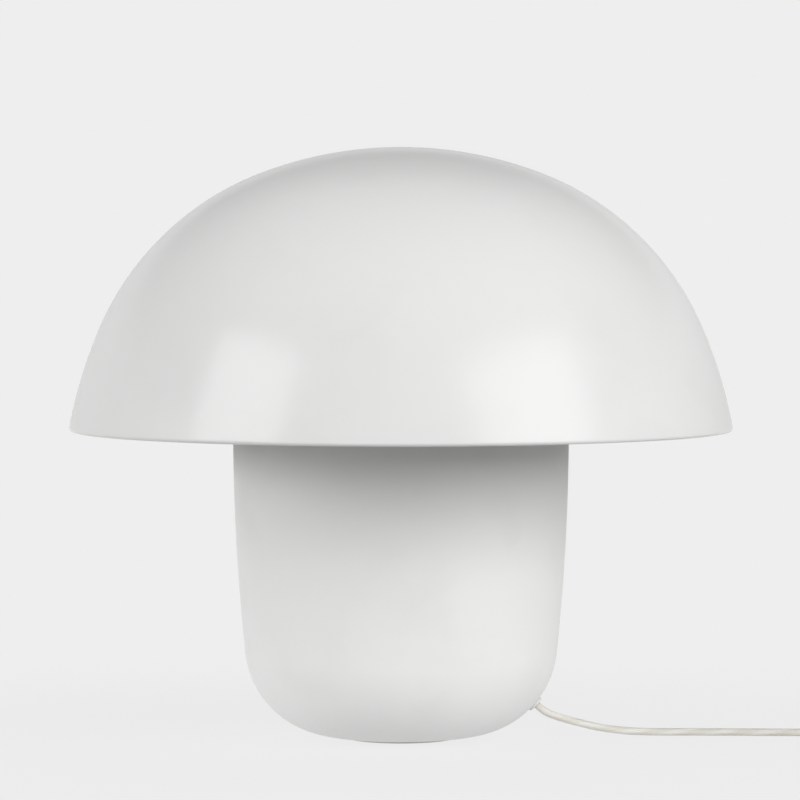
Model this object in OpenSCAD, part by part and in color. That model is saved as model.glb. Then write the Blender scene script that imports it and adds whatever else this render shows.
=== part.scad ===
// Mushroom table lamp: a spun metal dome resting on a pot-shaped base, with a bulb between them.
// Millimetres. Z is up, the origin is on the table at the middle of the base, the cord leaves along +X.

/* [Shade] */
// Height of the shade's rim above the table
rim_z = 186; // [175:0.5:200]
// Height of the dome from its rim to its top
shade_h = 170.2; // [168:0.2:176]
// Radius of the crown, the flattest part of the dome
crown_r = 236; // [230:0.5:245]
// Radius of the shoulder between crown and side
shoulder_r = 172.5; // [165:0.5:180]
// Radius of the dome's side, seen from the side
side_r = 303; // [280:1:340]
// Angle from the top at which the crown turns into the shoulder
crown_angle = 21; // [20:0.5:24]
// Angle from the top at which the shoulder turns into the side
shoulder_angle = 67; // [64:0.5:70]
// Thickness of the spun sheet
shade_wall = 1.2; // [0.8:0.1:2]
// Radius of the bead that is turned in along the rim
bead_r = 2.6; // [1.8:0.1:3.2]

/* [Base] */
// Height of the pot, which ends out of sight under the shade
pot_h = 214; // [206:1:222]
// Thickness of the pot's wall
pot_wall = 1.5; // [1.2:0.1:2]
// Radius of the flat foot of the pot
foot_r = 34; // [32:0.5:38]
// Radius of the shallow curve next to the foot
belly_r = 75; // [70:1:82]
// Radius of the large round corner
corner_r = 55.5; // [52:0.5:58]
// Radius of the long curve up the side
flank_r = 1300; // [1200:10:1500]
// Angle at which the shallow curve turns into the corner
belly_angle = 14; // [12:0.5:16]
// Angle at which the corner turns into the flank
corner_angle = 84; // [83:0.25:85]
// Radius of the bead round the pot's mouth
mouth_bead_r = 1.6; // [1.3:0.1:2]
// Thickness of the foot pad
pad_t = 1.5; // [1:0.1:2]
// Margin between the foot pad's edge and the flat foot's edge
pad_margin = 2; // [1:0.5:4]
// Radius of the pressed recess that hides the ballast screw's head
recess_r = 12; // [10:0.5:13]
// Depth of that recess
recess_h = 5.5; // [5:0.1:6.5]

/* [Ballast] */
// Radius of the cast ballast disc
ballast_r = 60; // [50:1:62]
// Height of the ballast's top above the pot's floor
ballast_h = 17; // [15:0.5:20]
// Shank radius of the ballast screw
ballast_screw_r = 3; // [2.5:0.1:3.2]
// Head radius of the ballast screw
ballast_head_r = 6; // [5:0.1:7]
// Head height of the ballast screw
ballast_head_h = 3.6; // [3:0.1:4]
// Radius of the washer on top of the ballast
ballast_washer_r = 9; // [8:0.5:10]
// Thickness of that washer
ballast_washer_t = 1.6; // [1:0.1:2]
// Width across the flats of the ballast nut
ballast_nut_w = 10; // [9:0.5:12]
// Height of the ballast nut
ballast_nut_h = 5; // [4:0.1:6]

/* [Carrier] */
// Height of the hub plate's top, on which the lamp holder stands
hub_z = 150; // [140:1:152]
// Radius of the hub plate
hub_r = 24; // [22:0.5:28]
// Width of the carrier's three flat bars
bar_w = 14; // [12:0.5:16]
// Thickness of the bars and the hub plate
bar_t = 2.5; // [2:0.1:3]
// Distance from the pot's mouth down to the screws that hold the carrier in it
carrier_screw_drop = 11; // [9:0.5:18]
// Shank radius of those screws
carrier_screw_r = 2; // [1.6:0.1:2.4]
// Head radius of those screws
carrier_head_r = 4; // [3.5:0.1:4.6]
// Head height of those screws
carrier_head_h = 2.2; // [1.8:0.1:2.6]
// Width across the flats of the carrier nuts
carrier_nut_w = 7; // [6.5:0.1:8]
// Height of the carrier nuts
carrier_nut_h = 3.2; // [2.8:0.1:3.6]
// Middle radius of the ring that carries the shade
ring_r = 78; // [74:0.5:79]
// Width of that ring
ring_w = 12; // [11:0.5:14]
// Thickness of that ring
ring_t = 2; // [1.5:0.1:2.5]
// Height of the soft buffers between ring and shade
buffer_h = 10; // [9:0.2:12]
// Radius of the soft buffers
buffer_r = 4.5; // [3.5:0.1:5]
// Shank radius of the ring's rivets
rivet_r = 1.6; // [1.3:0.1:2]

/* [Lamp holder] */
// Outer radius of the threaded nipple
nipple_r = 5; // [4.8:0.1:6]
// Inner radius of the nipple
nipple_bore_r = 3.7; // [3.2:0.1:3.8]
// How far the nipple reaches above the hub plate
nipple_above = 9; // [7:0.5:11]
// How far the nipple reaches below the hub plate
nipple_below = 9; // [7:0.5:12]
// Width across the flats of the nipple's nut
nipple_nut_w = 14; // [13:0.5:17]
// Height of the nipple's nut
nipple_nut_h = 3; // [2.5:0.1:4]
// Outer radius of the holder's skirt
holder_r = 20; // [19.5:0.1:22]
// Height of the whole holder
holder_h = 60; // [56:0.5:61]
// Wall of the holder's plastic parts
holder_wall = 1.8; // [1.5:0.1:2]
// Height of the insert that carries the contacts
insert_h = 8; // [7:0.5:9]

/* [Bulb] */
// Crest radius of the bulb's standard screw cap
screw_cap_r = 13.15; // [13:0.05:13.3]
// Height of the threaded part of the screw cap
screw_cap_h = 20.5; // [19:0.5:21]
// Pitch of the screw cap's thread
screw_pitch = 3.6; // [3.5:0.05:3.7]
// Radius of the frosted globe
globe_r = 30; // [27:0.5:32]
// Whole length of the bulb
bulb_l = 108; // [104:1:112]
// Height of the bulb's plastic body
bulb_body_h = 30; // [26:0.5:34]

/* [Cord] */
// Diameter of the mains cord
cord_d = 4.5; // [4:0.1:5]
// Angle round the big corner, from straight down, at which the cord leaves the pot
bush_angle = 49; // [47:0.5:51]
// Radius of the cord bush's flange
bush_flange_r = 5.2; // [5:0.1:6]
// Thickness of that flange
bush_flange_t = 1.6; // [1.2:0.1:2]
// Radius of the threaded part of the bush
bush_r = 4; // [3.6:0.1:4.2]
// Length of the threaded part of the bush
bush_thread_l = 9; // [8:0.5:10]
// Length of the bush's tapered strain relief inside the pot
bush_relief_l = 16; // [14:0.5:18]
// Width across the flats of the bush's lock nut
bush_nut_w = 11; // [10:0.5:12]
// Height of that lock nut
bush_nut_h = 3; // [2.5:0.1:3.5]
// Turns of the put-away coil in each of its four layers
coil_turns = 1.75; // [1.75:1:2.75]
// Gap between neighbouring turns and layers of the coil
coil_space = 1.1; // [1.1:0.1:1.6]
// Radius of the coil's outermost turn
coil_r = 31; // [30:0.5:34]
// Width of the tie round the coil
tie_w = 5; // [4:0.5:7]
// Thickness of the tie
tie_t = 0.8; // [0.6:0.1:1]

/* [Switch] */
// Length of the in-line switch
switch_l = 70; // [66:1:74]
// Width of the switch
switch_w = 26; // [24:0.5:28]
// Height of the switch
switch_h = 17; // [16:0.5:19]
// Wall of the switch's shells
switch_wall = 1.8; // [1.4:0.1:2.2]
// Length of the rocker's window
window_l = 17; // [16:0.5:19]
// Width of the rocker's window
window_w = 11; // [10:0.5:12]
// Radius of the rocker's pivot pins
pivot_r = 1.2; // [1:0.1:1.4]
// Angle between the rocker's two positions
rocker_angle = 14; // [10:1:16]

/* [Plug] */
// Width of the two-pin plug
plug_w = 35; // [33:0.5:36]
// Thickness of the plug
plug_t = 13.8; // [13:0.2:15]
// Length of the plug's body
plug_l = 38; // [34:0.5:40]
// Radius of the plug's pins
pin_r = 2; // [1.9:0.05:2.1]
// Length of the pins' straight part, outside the plug
pin_l = 18; // [17:0.5:18.5]
// Distance between the pins
pin_gap = 18.6; // [18:0.1:19.2]
// Length of the plug's tapered strain relief
plug_relief_l = 24; // [20:0.5:28]

/* [Clearances] */
// Gap between parts that move apart, such as the shade and its buffers
lift_gap = 0.3; // [0.2:0.05:0.5]
// Radial gap round screws and tubes in their holes
hole_gap = 0.15; // [0.1:0.05:0.3]
// Radial gap of the rocker's pins in their bores
pivot_gap = 0.05; // [0.02:0.01:0.1]

/* [Hidden] */

// Facets of the large turned shapes, of ordinary round parts and of small ones
fine = 180;
round_fn = 64;
small_fn = 32;
// A length that reaches past any part, for cuts
far = 400;
// A small overshoot for cuts
eps = 0.01;

// Unit direction at angle a from straight up, turning towards +X, in the plane of a turned profile
function toward(a) = [sin(a), cos(a)];
function unit(v) = v / norm(v);

// Shade: centres of its three arcs, then the place of its bead
apex_z = rim_z + shade_h;
crown_c = [0, apex_z - crown_r];
shoulder_c = crown_c + (crown_r - shoulder_r) * toward(crown_angle);
side_c = shoulder_c - (side_r - shoulder_r) * toward(shoulder_angle);
rim_angle = acos((rim_z + bead_r - side_c[1]) / (side_r - bead_r));
bead_c = side_c + (side_r - bead_r) * toward(rim_angle);

// Height of the crown's inner face at radius r, less a gap
function crown_inside_z(r, gap = 0) = crown_c[1] + sqrt(pow(crown_r - shade_wall - gap, 2) - r * r);

// Pot: the same for its three arcs, the first of which starts at the flat foot
belly_c = [foot_r, pad_t + belly_r];
corner_c = belly_c + (belly_r - corner_r) * toward(180 - belly_angle);
flank_c = corner_c - (flank_r - corner_r) * toward(180 - corner_angle);
pot_r = flank_c[0] + flank_r;
flank_top_z = flank_c[1];
floor_z = pad_t + pot_wall;
recess_top_z = pad_t + recess_h;

// Ballast and what stands on it
ballast_top_z = floor_z + ballast_h;
ballast_washer_z = ballast_top_z + ballast_washer_t;
ballast_nut_z = ballast_washer_z + ballast_nut_h;
ballast_screw_end_z = ballast_nut_z + 2;

// Cord bush: a point on the pot's outer face and the way out of it
bush_out = toward(180 - bush_angle);
bush_at = corner_c + corner_r * bush_out;
bush_face = bush_at + bush_flange_t * bush_out;
bush_tail = bush_at - (bush_thread_l + bush_relief_l) * bush_out;
cord_r = cord_d / 2;
cord_hole_r = cord_r + hole_gap;
// The lock nut's face stands this far off the hollow wall, so that only its rim comes near
bush_nut_off = 0.55;
bush_flange_edge = 0.6;

// Carrier: the flat bars stand against the pot's wall with their edges, level with the hub's underside
hub_wall_r = flank_c[0] + sqrt(pow(flank_r - pot_wall, 2) - pow(flank_top_z - hub_z + bar_t, 2));
bar_x = sqrt(pow(hub_wall_r, 2) - pow(bar_w / 2, 2)) - hole_gap;
arm_angles = [60, 180, 300];
buffer_angles = [0, 120, 240];
ring_top_z = crown_inside_z(ring_r) - buffer_h;
ring_z = ring_top_z - ring_t;
ring_in_r = ring_r - ring_w / 2;
rivet_head_r = 2 * rivet_r;
rivet_head_h = 1.2;
carrier_screw_z = pot_h - carrier_screw_drop;

// Cord clamp on the ballast
clamp_x = 36;
clamp_l = 8;
clamp_w = 27;
clamp_t = 2.2;
clamp_screw_y = 9.5;
clamp_screw_r = 1.6;
clamp_head_r = 3;
clamp_head_h = 2;
clamp_thread_l = 7;
lead_z = ballast_top_z + cord_hole_r;
lead_end_z = hub_z + nipple_above + 1;

// Lamp holder, from the bulb's seat down: insert with the contacts, then the cap
tip_h = 2.5;
insulator_h = 3.5;
contact_h = 2;
holder_top_z = hub_z + holder_h;
bulb_z = holder_top_z - screw_cap_h - insulator_h - tip_h - 0.5;
insert_top_z = bulb_z - contact_h;
insert_z = insert_top_z - insert_h;
holder_cap_top_z = insert_z - 1;
cap_h = holder_cap_top_z - hub_z;
collar_h = 5;
collar_r = holder_r - holder_wall - hole_gap;
insert_r = collar_r - holder_wall - hole_gap;
contact_r = 3;
contact_t = 0.8;
contact_rivet_r = 1.2;
shell_in_r = screw_cap_r + lift_gap;
shell_t = 0.5;
terminal_x = 10.5;
terminal_r = 1.6;
terminal_head_r = 2.6;
terminal_head_h = 1.8;

// Bulb
insulator_z = bulb_z + tip_h;
screw_cap_z = insulator_z + insulator_h;
bulb_body_z = screw_cap_z + screw_cap_h + 1;
globe_c = bulb_z + bulb_l - globe_r;
globe_cut_z = bulb_body_z + bulb_body_h;
globe_cut_r = sqrt(pow(globe_r, 2) - pow(globe_c - globe_cut_z, 2));
globe_wall = 1.5;
board_r = globe_cut_r - 3.2;

// Where the in-line switch lies, its length along Y, and where the coil lies behind it
switch_x = 287;
switch_y0 = 56;
switch_y1 = switch_y0 + switch_l;
switch_mid_y = (switch_y0 + switch_y1) / 2;
switch_cord_z = switch_h / 2;
cord_in_switch = 6;
// Its halves meet at the cord's middle, held by four screws in posts
split_z = switch_cord_z;
switch_edge = 1.5;
post_r = 3;
post_x = 7;
post_y = 22;
switch_screw_r = 1.15;
switch_head_r = 2.1;
switch_head_h = 1.5;
switch_head_z = 2.2;
switch_thread_l = 5;
// Rocker, whose faces meet over its pivot, between two ears under the window
rocker_z = switch_h - 3.4;
rocker_top = 3.6;
rocker_depth = 2;
rocker_r = window_l / 2 - lift_gap;
rocker_w = window_w - 0.8;
ear_t = 1.6;
ear_w = 6;
ear_in_x = window_w / 2 + lift_gap;
ear_out_x = ear_in_x + ear_t;
pivot_reach = ear_out_x - 0.2;
contact_y = 14;
coil_pitch = cord_d + coil_space;
coil_floor_gap = tie_t + 0.35;
coil_z = cord_r + coil_floor_gap;
coil_c = [switch_x + coil_r, 165.5];
coil_in_r = coil_r - coil_turns * coil_pitch;
coil_top_z = coil_z + 3 * coil_pitch;
coil_lead = cord_d;
// Tie round the near side of the coil, with its lock on top
tie_in = coil_in_r - cord_r - 0.6;
tie_out = coil_r + cord_r + 0.3;
tie_top_z = coil_top_z + cord_r + 0.5;
tie_corner = 2;
tie_lock = [6, tie_w + 2, 3];

// Where the plug lies, pointing along -Y
plug_x = 336;
plug_back_y = 76;
plug_z = plug_t / 2;
plug_front_y = plug_back_y - plug_l;
plug_neck_w = 14;
plug_neck_t = 11;
relief_y = plug_back_y + plug_relief_l;
cord_in_relief = 6;
// Each pin stands with its shoulder on the plug's face and has a thinner root in the plug
pin_root = 11;
pin_root_r = pin_r - 0.5;
pin_tip = 1;

// Route of the cord from the bush to the switch, points chosen by hand after the first three
run_route = [
    for (l = [0, 2, 4]) [bush_face[0] + l * bush_out[0], 0, bush_face[1] + l * bush_out[1]],
    [88, 0.2, 15.3], [92.5, 0.6, 13.4], [98, 1.2, 11.6], [106, 2.6, 9.3], [118, 5, 6.2], [132, 8, 3.8],
    [147, 10.5, 2.6], [163, 12, cord_r], [182, 12.2, cord_r], [205, 11.2, cord_r], [230, 9.6, cord_r],
    [251, 9.4, cord_r], [267, 12.5, cord_r], [279, 21, cord_r], [286, 33, 3.4], [switch_x, 44, 6.4],
    [switch_x, 53, switch_cord_z - 0.2], [switch_x, switch_y0 + cord_in_switch, switch_cord_z]
];
// Route from the switch to the coil
link_route = [
    [switch_x, switch_y1 - cord_in_switch, switch_cord_z], [switch_x, switch_y1 + 4, switch_cord_z - 0.3],
    [switch_x, 138, 6.1], [switch_x, 146, 4.2], [switch_x, 152.5, coil_z],
    [switch_x, 157, coil_z], [switch_x, coil_c[1] - coil_lead, coil_z]
];
// Route from the coil to the plug
tail_route = [
    for (l = [0, 3, 6]) [coil_c[0] + coil_r, coil_c[1] - coil_lead - l, coil_top_z],
    [348.8, 149, 19.2], [347.8, 140, 16.4],
    [345.2, 131, 13], [341.2, 120, 9.5], [337.4, 111, 7.5], [plug_x, 106, plug_z],
    [plug_x, relief_y + 1, plug_z], [plug_x, relief_y - cord_in_relief + 1, plug_z]
];
// Route of the lead inside the base, from the bush over the ballast and up into the nipple
lead_route = [
    [bush_face[0], 0, bush_face[1]], [bush_tail[0], 0, bush_tail[1]], [59, 0, 39.6], [56, 0, 40.6],
    [53, 0, 40], [50.2, 0, 37.8], [48, 0, 34.6], [46.2, 0, 30.8], [44.4, 0, 27], [42.4, 0, 24.2],
    [clamp_x + clamp_l / 2 + 0.4, 0, lead_z], [clamp_x - clamp_l / 2 - 0.4, 0, lead_z], [29.4, 0, 24.2],
    [27.6, 0, 27], [25, 0, 32], [21.5, 0, 40], [17, 0, 52], [12, 0, 68], [7, 0, 88], [3, 0, 106],
    [0.6, 0, 122], [0, 0, 134], [0, 0, lead_end_z]
];
// Route of one of the two cores from the lead's end to its terminal
core_d = 2;
core_end_z = insert_z - terminal_head_h - core_d / 2 - 0.1;
core_route = [
    [core_d / 2 + 0.1, 0, lead_end_z], [core_d / 2 + 0.1, 0, lead_end_z + 1.2], [1.7, 0, lead_end_z + 3],
    [3.2, 0, lead_end_z + 5.2], [5.2, 0, lead_end_z + 7.2], [7.4, 0, core_end_z - 0.9],
    [9, 0, core_end_z - 0.2], [terminal_x, 0, core_end_z]
];

// Smooth curve through points: k places on each stretch
function blend_point(a, b, c, d, t) =
    0.5 * (2 * b + (c - a) * t + (2 * a - 5 * b + 4 * c - d) * t * t + (3 * b - a - 3 * c + d) * t * t * t);
function smooth_route(p, k) = concat(
    [for (i = [0 : len(p) - 2]) for (j = [0 : k - 1])
        blend_point(p[max(i - 1, 0)], p[i], p[i + 1], p[min(i + 2, len(p) - 1)], j / k)],
    [p[len(p) - 1]]);
// The same, kept on the table where the curve would dip below it
function laid_route(p, k) = [for (q = smooth_route(p, k)) [q[0], q[1], max(q[2], cord_r)]];
function route_length(p) = len(p) < 2 ? 0 : let (d = [for (i = [1 : len(p) - 1]) norm(p[i] - p[i - 1])])
    d * [for (i = d) 1];

// Round tube of one unbroken surface along a route; up is a direction that the route never follows
module tube(route, r, sides, up) {
    last = len(route) - 1;
    rings = [for (i = [0 : last])
        let (ahead = unit(route[min(i + 1, last)] - route[max(i - 1, 0)]),
             across = unit(cross(ahead, up)),
             over = cross(across, ahead))
        [for (s = [0 : sides - 1])
            let (a = 360 * s / sides) route[i] + r * (cos(a) * across + sin(a) * over)]];
    points = [for (ring = rings) for (p = ring) p];
    walls = [for (i = [0 : last - 1]) for (s = [0 : sides - 1])
        let (a = i * sides + s, b = i * sides + (s + 1) % sides)
        for (f = [[a, b, b + sides], [a, b + sides, a + sides]]) f];
    back = [for (s = [1 : sides - 2]) [0, s + 1, s]];
    tip = last * sides;
    front = [for (s = [1 : sides - 2]) [tip, tip + s, tip + s + 1]];
    polyhedron(points, concat(walls, back, front), convexity = 6);
}

// Coil: place of its centre line after u turns, spiralling in and out with a climb between layers
layer_turns = coil_turns + 0.5;
coil_total = 3 * layer_turns + coil_turns;
rings_per_turn = 24;
function coil_radius(layer, v) =
    let (step = coil_pitch * min(v, coil_turns)) layer % 2 == 0 ? coil_r - step : coil_in_r + step;
function coil_point(u) =
    let (layer = min(floor(u / layer_turns + eps / 10), 3),
         v = u - layer * layer_turns,
         r = coil_radius(layer, v),
         climb = max(v - coil_turns, 0) / 0.5,
         a = 180 - 360 * u)
    [coil_c[0] + r * cos(a), coil_c[1] + r * sin(a), coil_z + coil_pitch * (layer + climb)];
coil_steps = round(coil_total * rings_per_turn);
coil_middle = [for (i = [0 : coil_steps]) coil_point(i * coil_total / coil_steps)];
coil_route = concat(
    [coil_middle[0] - [0, coil_lead, 0]], coil_middle, [coil_middle[coil_steps] - [0, coil_lead, 0]]);

// Least gap of the coil to itself, between each place and the stretches more than half a turn on
function stretch_gap(p, a, b) =
    let (t = max(0, min(1, (p - a) * (b - a) / ((b - a) * (b - a))))) norm(p - a - t * (b - a)) - cord_d;
coil_gap = min([for (i = [0 : coil_steps - 13]) for (j = [i + 12 : coil_steps - 1])
    stretch_gap(coil_middle[i], coil_middle[j], coil_middle[j + 1])]);
run_path = laid_route(run_route, 2);
link_path = laid_route(link_route, 2);
tail_path = laid_route(tail_route, 2);
echo(coil_gap = coil_gap, coil_length = route_length(coil_route), turns = coil_total);
echo(run = route_length(run_path), link = route_length(link_path), tail = route_length(tail_path));
echo(whole = route_length(run_path) + route_length(coil_route) + route_length(link_path)
    + route_length(tail_path) + switch_l - 2 * cord_in_switch);
echo(shade_r = bead_c[0] + bead_r, pot_r = pot_r, flank_top_z = flank_top_z, bush_face = bush_face);
echo(ring_top_z = ring_top_z, bar_x = bar_x, bulb_z = bulb_z, coil_in_r = coil_in_r);

// Slice of a disc between two angles, in the plane of a turned profile
module slice(c, r, a0, a1) {
    reach = 1.3 * r;
    translate(c) intersection() {
        circle(r, $fn = fine);
        polygon([[0, 0], reach * toward(a0), reach * toward((a0 + a1) / 2), reach * toward(a1)]);
    }
}

// Everything under the dome's outer face drawn in by inset, down to the rim
module dome_fill(inset) intersection() {
    union() {
        slice(crown_c, crown_r - inset, 0, crown_angle);
        translate(shoulder_c) circle(shoulder_r - inset, $fn = fine);
        slice(side_c, side_r - inset, shoulder_angle - 1, rim_angle + 5);
    }
    polygon([side_c - side_c[0] / sin(rim_angle) * toward(rim_angle),
        side_c + 2 * side_r * toward(rim_angle), [far, far], [0, far]]);
}

// Everything inside the pot's outer face drawn in by inset
module pot_fill(inset) intersection() {
    union() {
        block2([0, pad_t + inset], [foot_r, corner_c[1]]);
        slice(belly_c, belly_r - inset, 180, 180 - belly_angle);
        translate(corner_c) circle(corner_r - inset, $fn = fine);
        slice(flank_c, flank_r - inset, 180 - corner_angle, 90);
        block2([0, flank_top_z], [pot_r - inset, pot_h]);
    }
    block2([0, 0], [far, pot_h - mouth_bead_r]);
}

// Rectangle from one corner to another
module block2(a, b) translate(a) square(b - a);

module hex(w, h) cylinder(r = w / sqrt(3), h = h, $fn = 6);

// Hexagon nut with its bore and its lower face at z = 0
module nut(w, h, bore) difference() {
    hex(w, h);
    translate([0, 0, -eps]) cylinder(r = bore, h = h + 2 * eps, $fn = small_fn);
}

// Screw pointing down with its head above z = 0 and a cross recess in it
module pan_screw(r, l, head_r, head_h) {
    difference() {
        cylinder(r1 = head_r, r2 = 0.8 * head_r, h = head_h, $fn = small_fn);
        for (a = [0, 90])
            rotate(a) translate([-0.5 * head_r, -0.1 * head_r, 0.45 * head_h])
                cube([head_r, 0.2 * head_r, head_h]);
    }
    translate([0, 0, -l]) cylinder(r = r, h = l, $fn = small_fn);
}

// Copies round the lamp's axis
module around(angles) for (a = angles) rotate(a) children();

// Puts a part on the pot's wall at the cord's exit, with Z pointing straight out
module at_bush() translate([bush_at[0], 0, bush_at[1]]) rotate([0, 180 - bush_angle, 0]) children();

module pot_shell() color([0.93, 0.93, 0.92]) difference() {
    rotate_extrude($fn = fine) {
        // Pressed recess under the ballast screw
        block2([ballast_screw_r + hole_gap, recess_top_z], [recess_r + pot_wall, recess_top_z + pot_wall]);
        block2([recess_r, pad_t], [recess_r + pot_wall, recess_top_z + pot_wall]);
        difference() {
            pot_fill(0);
            pot_fill(pot_wall);
            block2([0, 0], [recess_r, recess_top_z]);
        }
        translate([pot_r - pot_wall + mouth_bead_r, pot_h - mouth_bead_r])
            circle(mouth_bead_r, $fn = small_fn);
    }
    at_bush() translate([0, 0, -bush_thread_l])
        cylinder(r = bush_r + hole_gap, h = 2 * bush_thread_l, $fn = small_fn);
    around(arm_angles) translate([bar_x, 0, carrier_screw_z]) rotate([0, 90, 0])
        cylinder(r = carrier_screw_r + hole_gap, h = far - bar_x, $fn = small_fn);
}

module foot_pad() color([0.78, 0.77, 0.74]) rotate_extrude($fn = fine)
    block2([recess_r, 0], [foot_r - pad_margin, pad_t]);

module ballast_disc() color([0.32, 0.32, 0.33]) difference() {
    rotate_extrude($fn = fine) difference() {
        intersection() {
            pot_fill(pot_wall + lift_gap);
            block2([0, 0], [ballast_r, ballast_top_z]);
        }
        block2([0, 0], [recess_r + pot_wall + 2 * lift_gap, recess_top_z + pot_wall]);
        block2([0, 0], [ballast_screw_r + hole_gap, far]);
    }
    for (s = [-1, 1]) translate([clamp_x, s * clamp_screw_y, ballast_top_z - clamp_thread_l - 1])
        cylinder(r = clamp_screw_r + hole_gap, h = clamp_thread_l + 2, $fn = small_fn);
}

module ballast_screw() color([0.75, 0.75, 0.76]) {
    translate([0, 0, recess_top_z]) mirror([0, 0, 1])
        pan_screw(ballast_screw_r, ballast_screw_end_z - recess_top_z, ballast_head_r, ballast_head_h);
}

module ballast_washer() color([0.75, 0.75, 0.76]) translate([0, 0, ballast_top_z]) difference() {
    cylinder(r = ballast_washer_r, h = ballast_washer_t, $fn = round_fn);
    translate([0, 0, -1]) cylinder(r = ballast_screw_r + hole_gap, h = ballast_washer_t + 2, $fn = small_fn);
}

module ballast_nut() color([0.75, 0.75, 0.76]) translate([0, 0, ballast_washer_z])
    nut(ballast_nut_w, ballast_nut_h, ballast_screw_r + hole_gap);

// Flange, thread, then the tapered relief, in one outline
module cord_bush() color([0.86, 0.86, 0.84]) at_bush() rotate_extrude($fn = round_fn) polygon([
    [cord_hole_r, bush_flange_t], [bush_flange_r - bush_flange_edge, bush_flange_t],
    [bush_flange_r, bush_flange_t - bush_flange_edge], [bush_flange_r, 0], [bush_r, 0],
    [bush_r, -bush_thread_l], [bush_r - 0.3, -bush_thread_l],
    [cord_hole_r + 0.6, -bush_thread_l - bush_relief_l], [cord_hole_r, -bush_thread_l - bush_relief_l]
]);

module bush_nut() color([0.8, 0.8, 0.79]) at_bush()
    translate([0, 0, -pot_wall - bush_nut_off - bush_nut_h]) nut(bush_nut_w, bush_nut_h, bush_r + hole_gap);

module cord_clamp() color([0.25, 0.25, 0.26]) difference() {
    translate([clamp_x - clamp_l / 2, 0, ballast_top_z]) rotate([90, 0, 90]) linear_extrude(clamp_l)
    difference() {
        union() {
            block2([-clamp_w / 2, 0], [clamp_w / 2, clamp_t]);
            translate([0, cord_hole_r]) circle(cord_hole_r + clamp_t, $fn = small_fn);
        }
        translate([0, cord_hole_r]) circle(cord_hole_r, $fn = small_fn);
        block2([-cord_hole_r, -far], [cord_hole_r, cord_hole_r]);
        block2([-far, -far], [far, 0]);
    }
    for (s = [-1, 1]) translate([clamp_x, s * clamp_screw_y, 0])
        cylinder(r = clamp_screw_r + hole_gap, h = far, $fn = small_fn);
}

module clamp_screws() color([0.75, 0.75, 0.76]) for (s = [-1, 1])
    translate([clamp_x, s * clamp_screw_y, ballast_top_z + clamp_t])
        pan_screw(clamp_screw_r, clamp_t + clamp_thread_l, clamp_head_r, clamp_head_h);

module inner_lead() color([0.85, 0.85, 0.82]) tube(lead_route, cord_r, 8, [0, 1, 0]);

module lead_cores() color([0.55, 0.35, 0.2]) for (a = [0, 180])
    rotate(a) tube(core_route, core_d / 2, 6, [0, 1, 0]);

module carrier_frame() color([0.9, 0.9, 0.89]) difference() {
    union() {
        translate([0, 0, hub_z - bar_t]) cylinder(r = hub_r, h = bar_t, $fn = round_fn);
        around(arm_angles) {
            translate([0, -bar_w / 2, hub_z - bar_t]) cube([bar_x, bar_w, bar_t]);
            translate([bar_x - bar_t, -bar_w / 2, hub_z - bar_t])
                cube([bar_t, bar_w, ring_z - hub_z + bar_t]);
            translate([ring_in_r, -bar_w / 2, ring_z - bar_t]) cube([bar_x - ring_in_r, bar_w, bar_t]);
        }
    }
    cylinder(r = nipple_r + hole_gap, h = far, $fn = round_fn);
    around(arm_angles) {
        translate([hub_r, 0, carrier_screw_z]) rotate([0, 90, 0])
            cylinder(r = carrier_screw_r + hole_gap, h = far, $fn = small_fn);
        translate([ring_r, 0, ring_z - 2 * bar_t])
            cylinder(r = rivet_r + hole_gap, h = 3 * bar_t, $fn = small_fn);
    }
}

module carrier_screws() color([0.8, 0.8, 0.8]) around(arm_angles)
    translate([pot_r, 0, carrier_screw_z]) rotate([0, 90, 0])
        pan_screw(carrier_screw_r, pot_r - bar_x + bar_t + carrier_nut_h + 1.5, carrier_head_r,
            carrier_head_h);

module carrier_nuts() color([0.75, 0.75, 0.76]) around(arm_angles)
    translate([bar_x - bar_t - carrier_nut_h, 0, carrier_screw_z]) rotate([0, 90, 0])
        nut(carrier_nut_w, carrier_nut_h, carrier_screw_r + hole_gap);

module shade_ring() color([0.9, 0.9, 0.89]) translate([0, 0, ring_z]) difference() {
    cylinder(r = ring_r + ring_w / 2, h = ring_t, $fn = fine);
    translate([0, 0, -1]) cylinder(r = ring_in_r, h = ring_t + 2, $fn = fine);
    around(arm_angles) translate([ring_r, 0, -1])
        cylinder(r = rivet_r + hole_gap, h = ring_t + 2, $fn = small_fn);
    around(buffer_angles) translate([ring_r, 0, -1])
        cylinder(r = buffer_r / 2 + hole_gap, h = ring_t + 2, $fn = small_fn);
}

module ring_rivets() color([0.7, 0.7, 0.71]) around(arm_angles) translate([ring_r, 0, 0]) {
    translate([0, 0, ring_z - bar_t]) cylinder(r = rivet_r, h = bar_t + ring_t, $fn = small_fn);
    translate([0, 0, ring_top_z])
        cylinder(r1 = rivet_head_r, r2 = 0.6 * rivet_head_r, h = rivet_head_h, $fn = small_fn);
    translate([0, 0, ring_z - bar_t - rivet_head_h])
        cylinder(r1 = 0.6 * rivet_head_r, r2 = rivet_head_r, h = rivet_head_h, $fn = small_fn);
}

module ring_buffers() color([0.8, 0.81, 0.82]) around(buffer_angles) {
    intersection() {
        translate([ring_r, 0, ring_top_z]) cylinder(r = buffer_r, h = 2 * buffer_h, $fn = small_fn);
        translate([0, 0, crown_c[1]]) sphere(crown_r - shade_wall - lift_gap, $fn = fine);
    }
    translate([ring_r, 0, ring_z - 1]) cylinder(r = buffer_r / 2, h = ring_t + 1, $fn = small_fn);
    translate([ring_r, 0, ring_z - 2.6])
        cylinder(r1 = buffer_r / 2, r2 = 0.75 * buffer_r, h = 2.6, $fn = small_fn);
}

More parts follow.
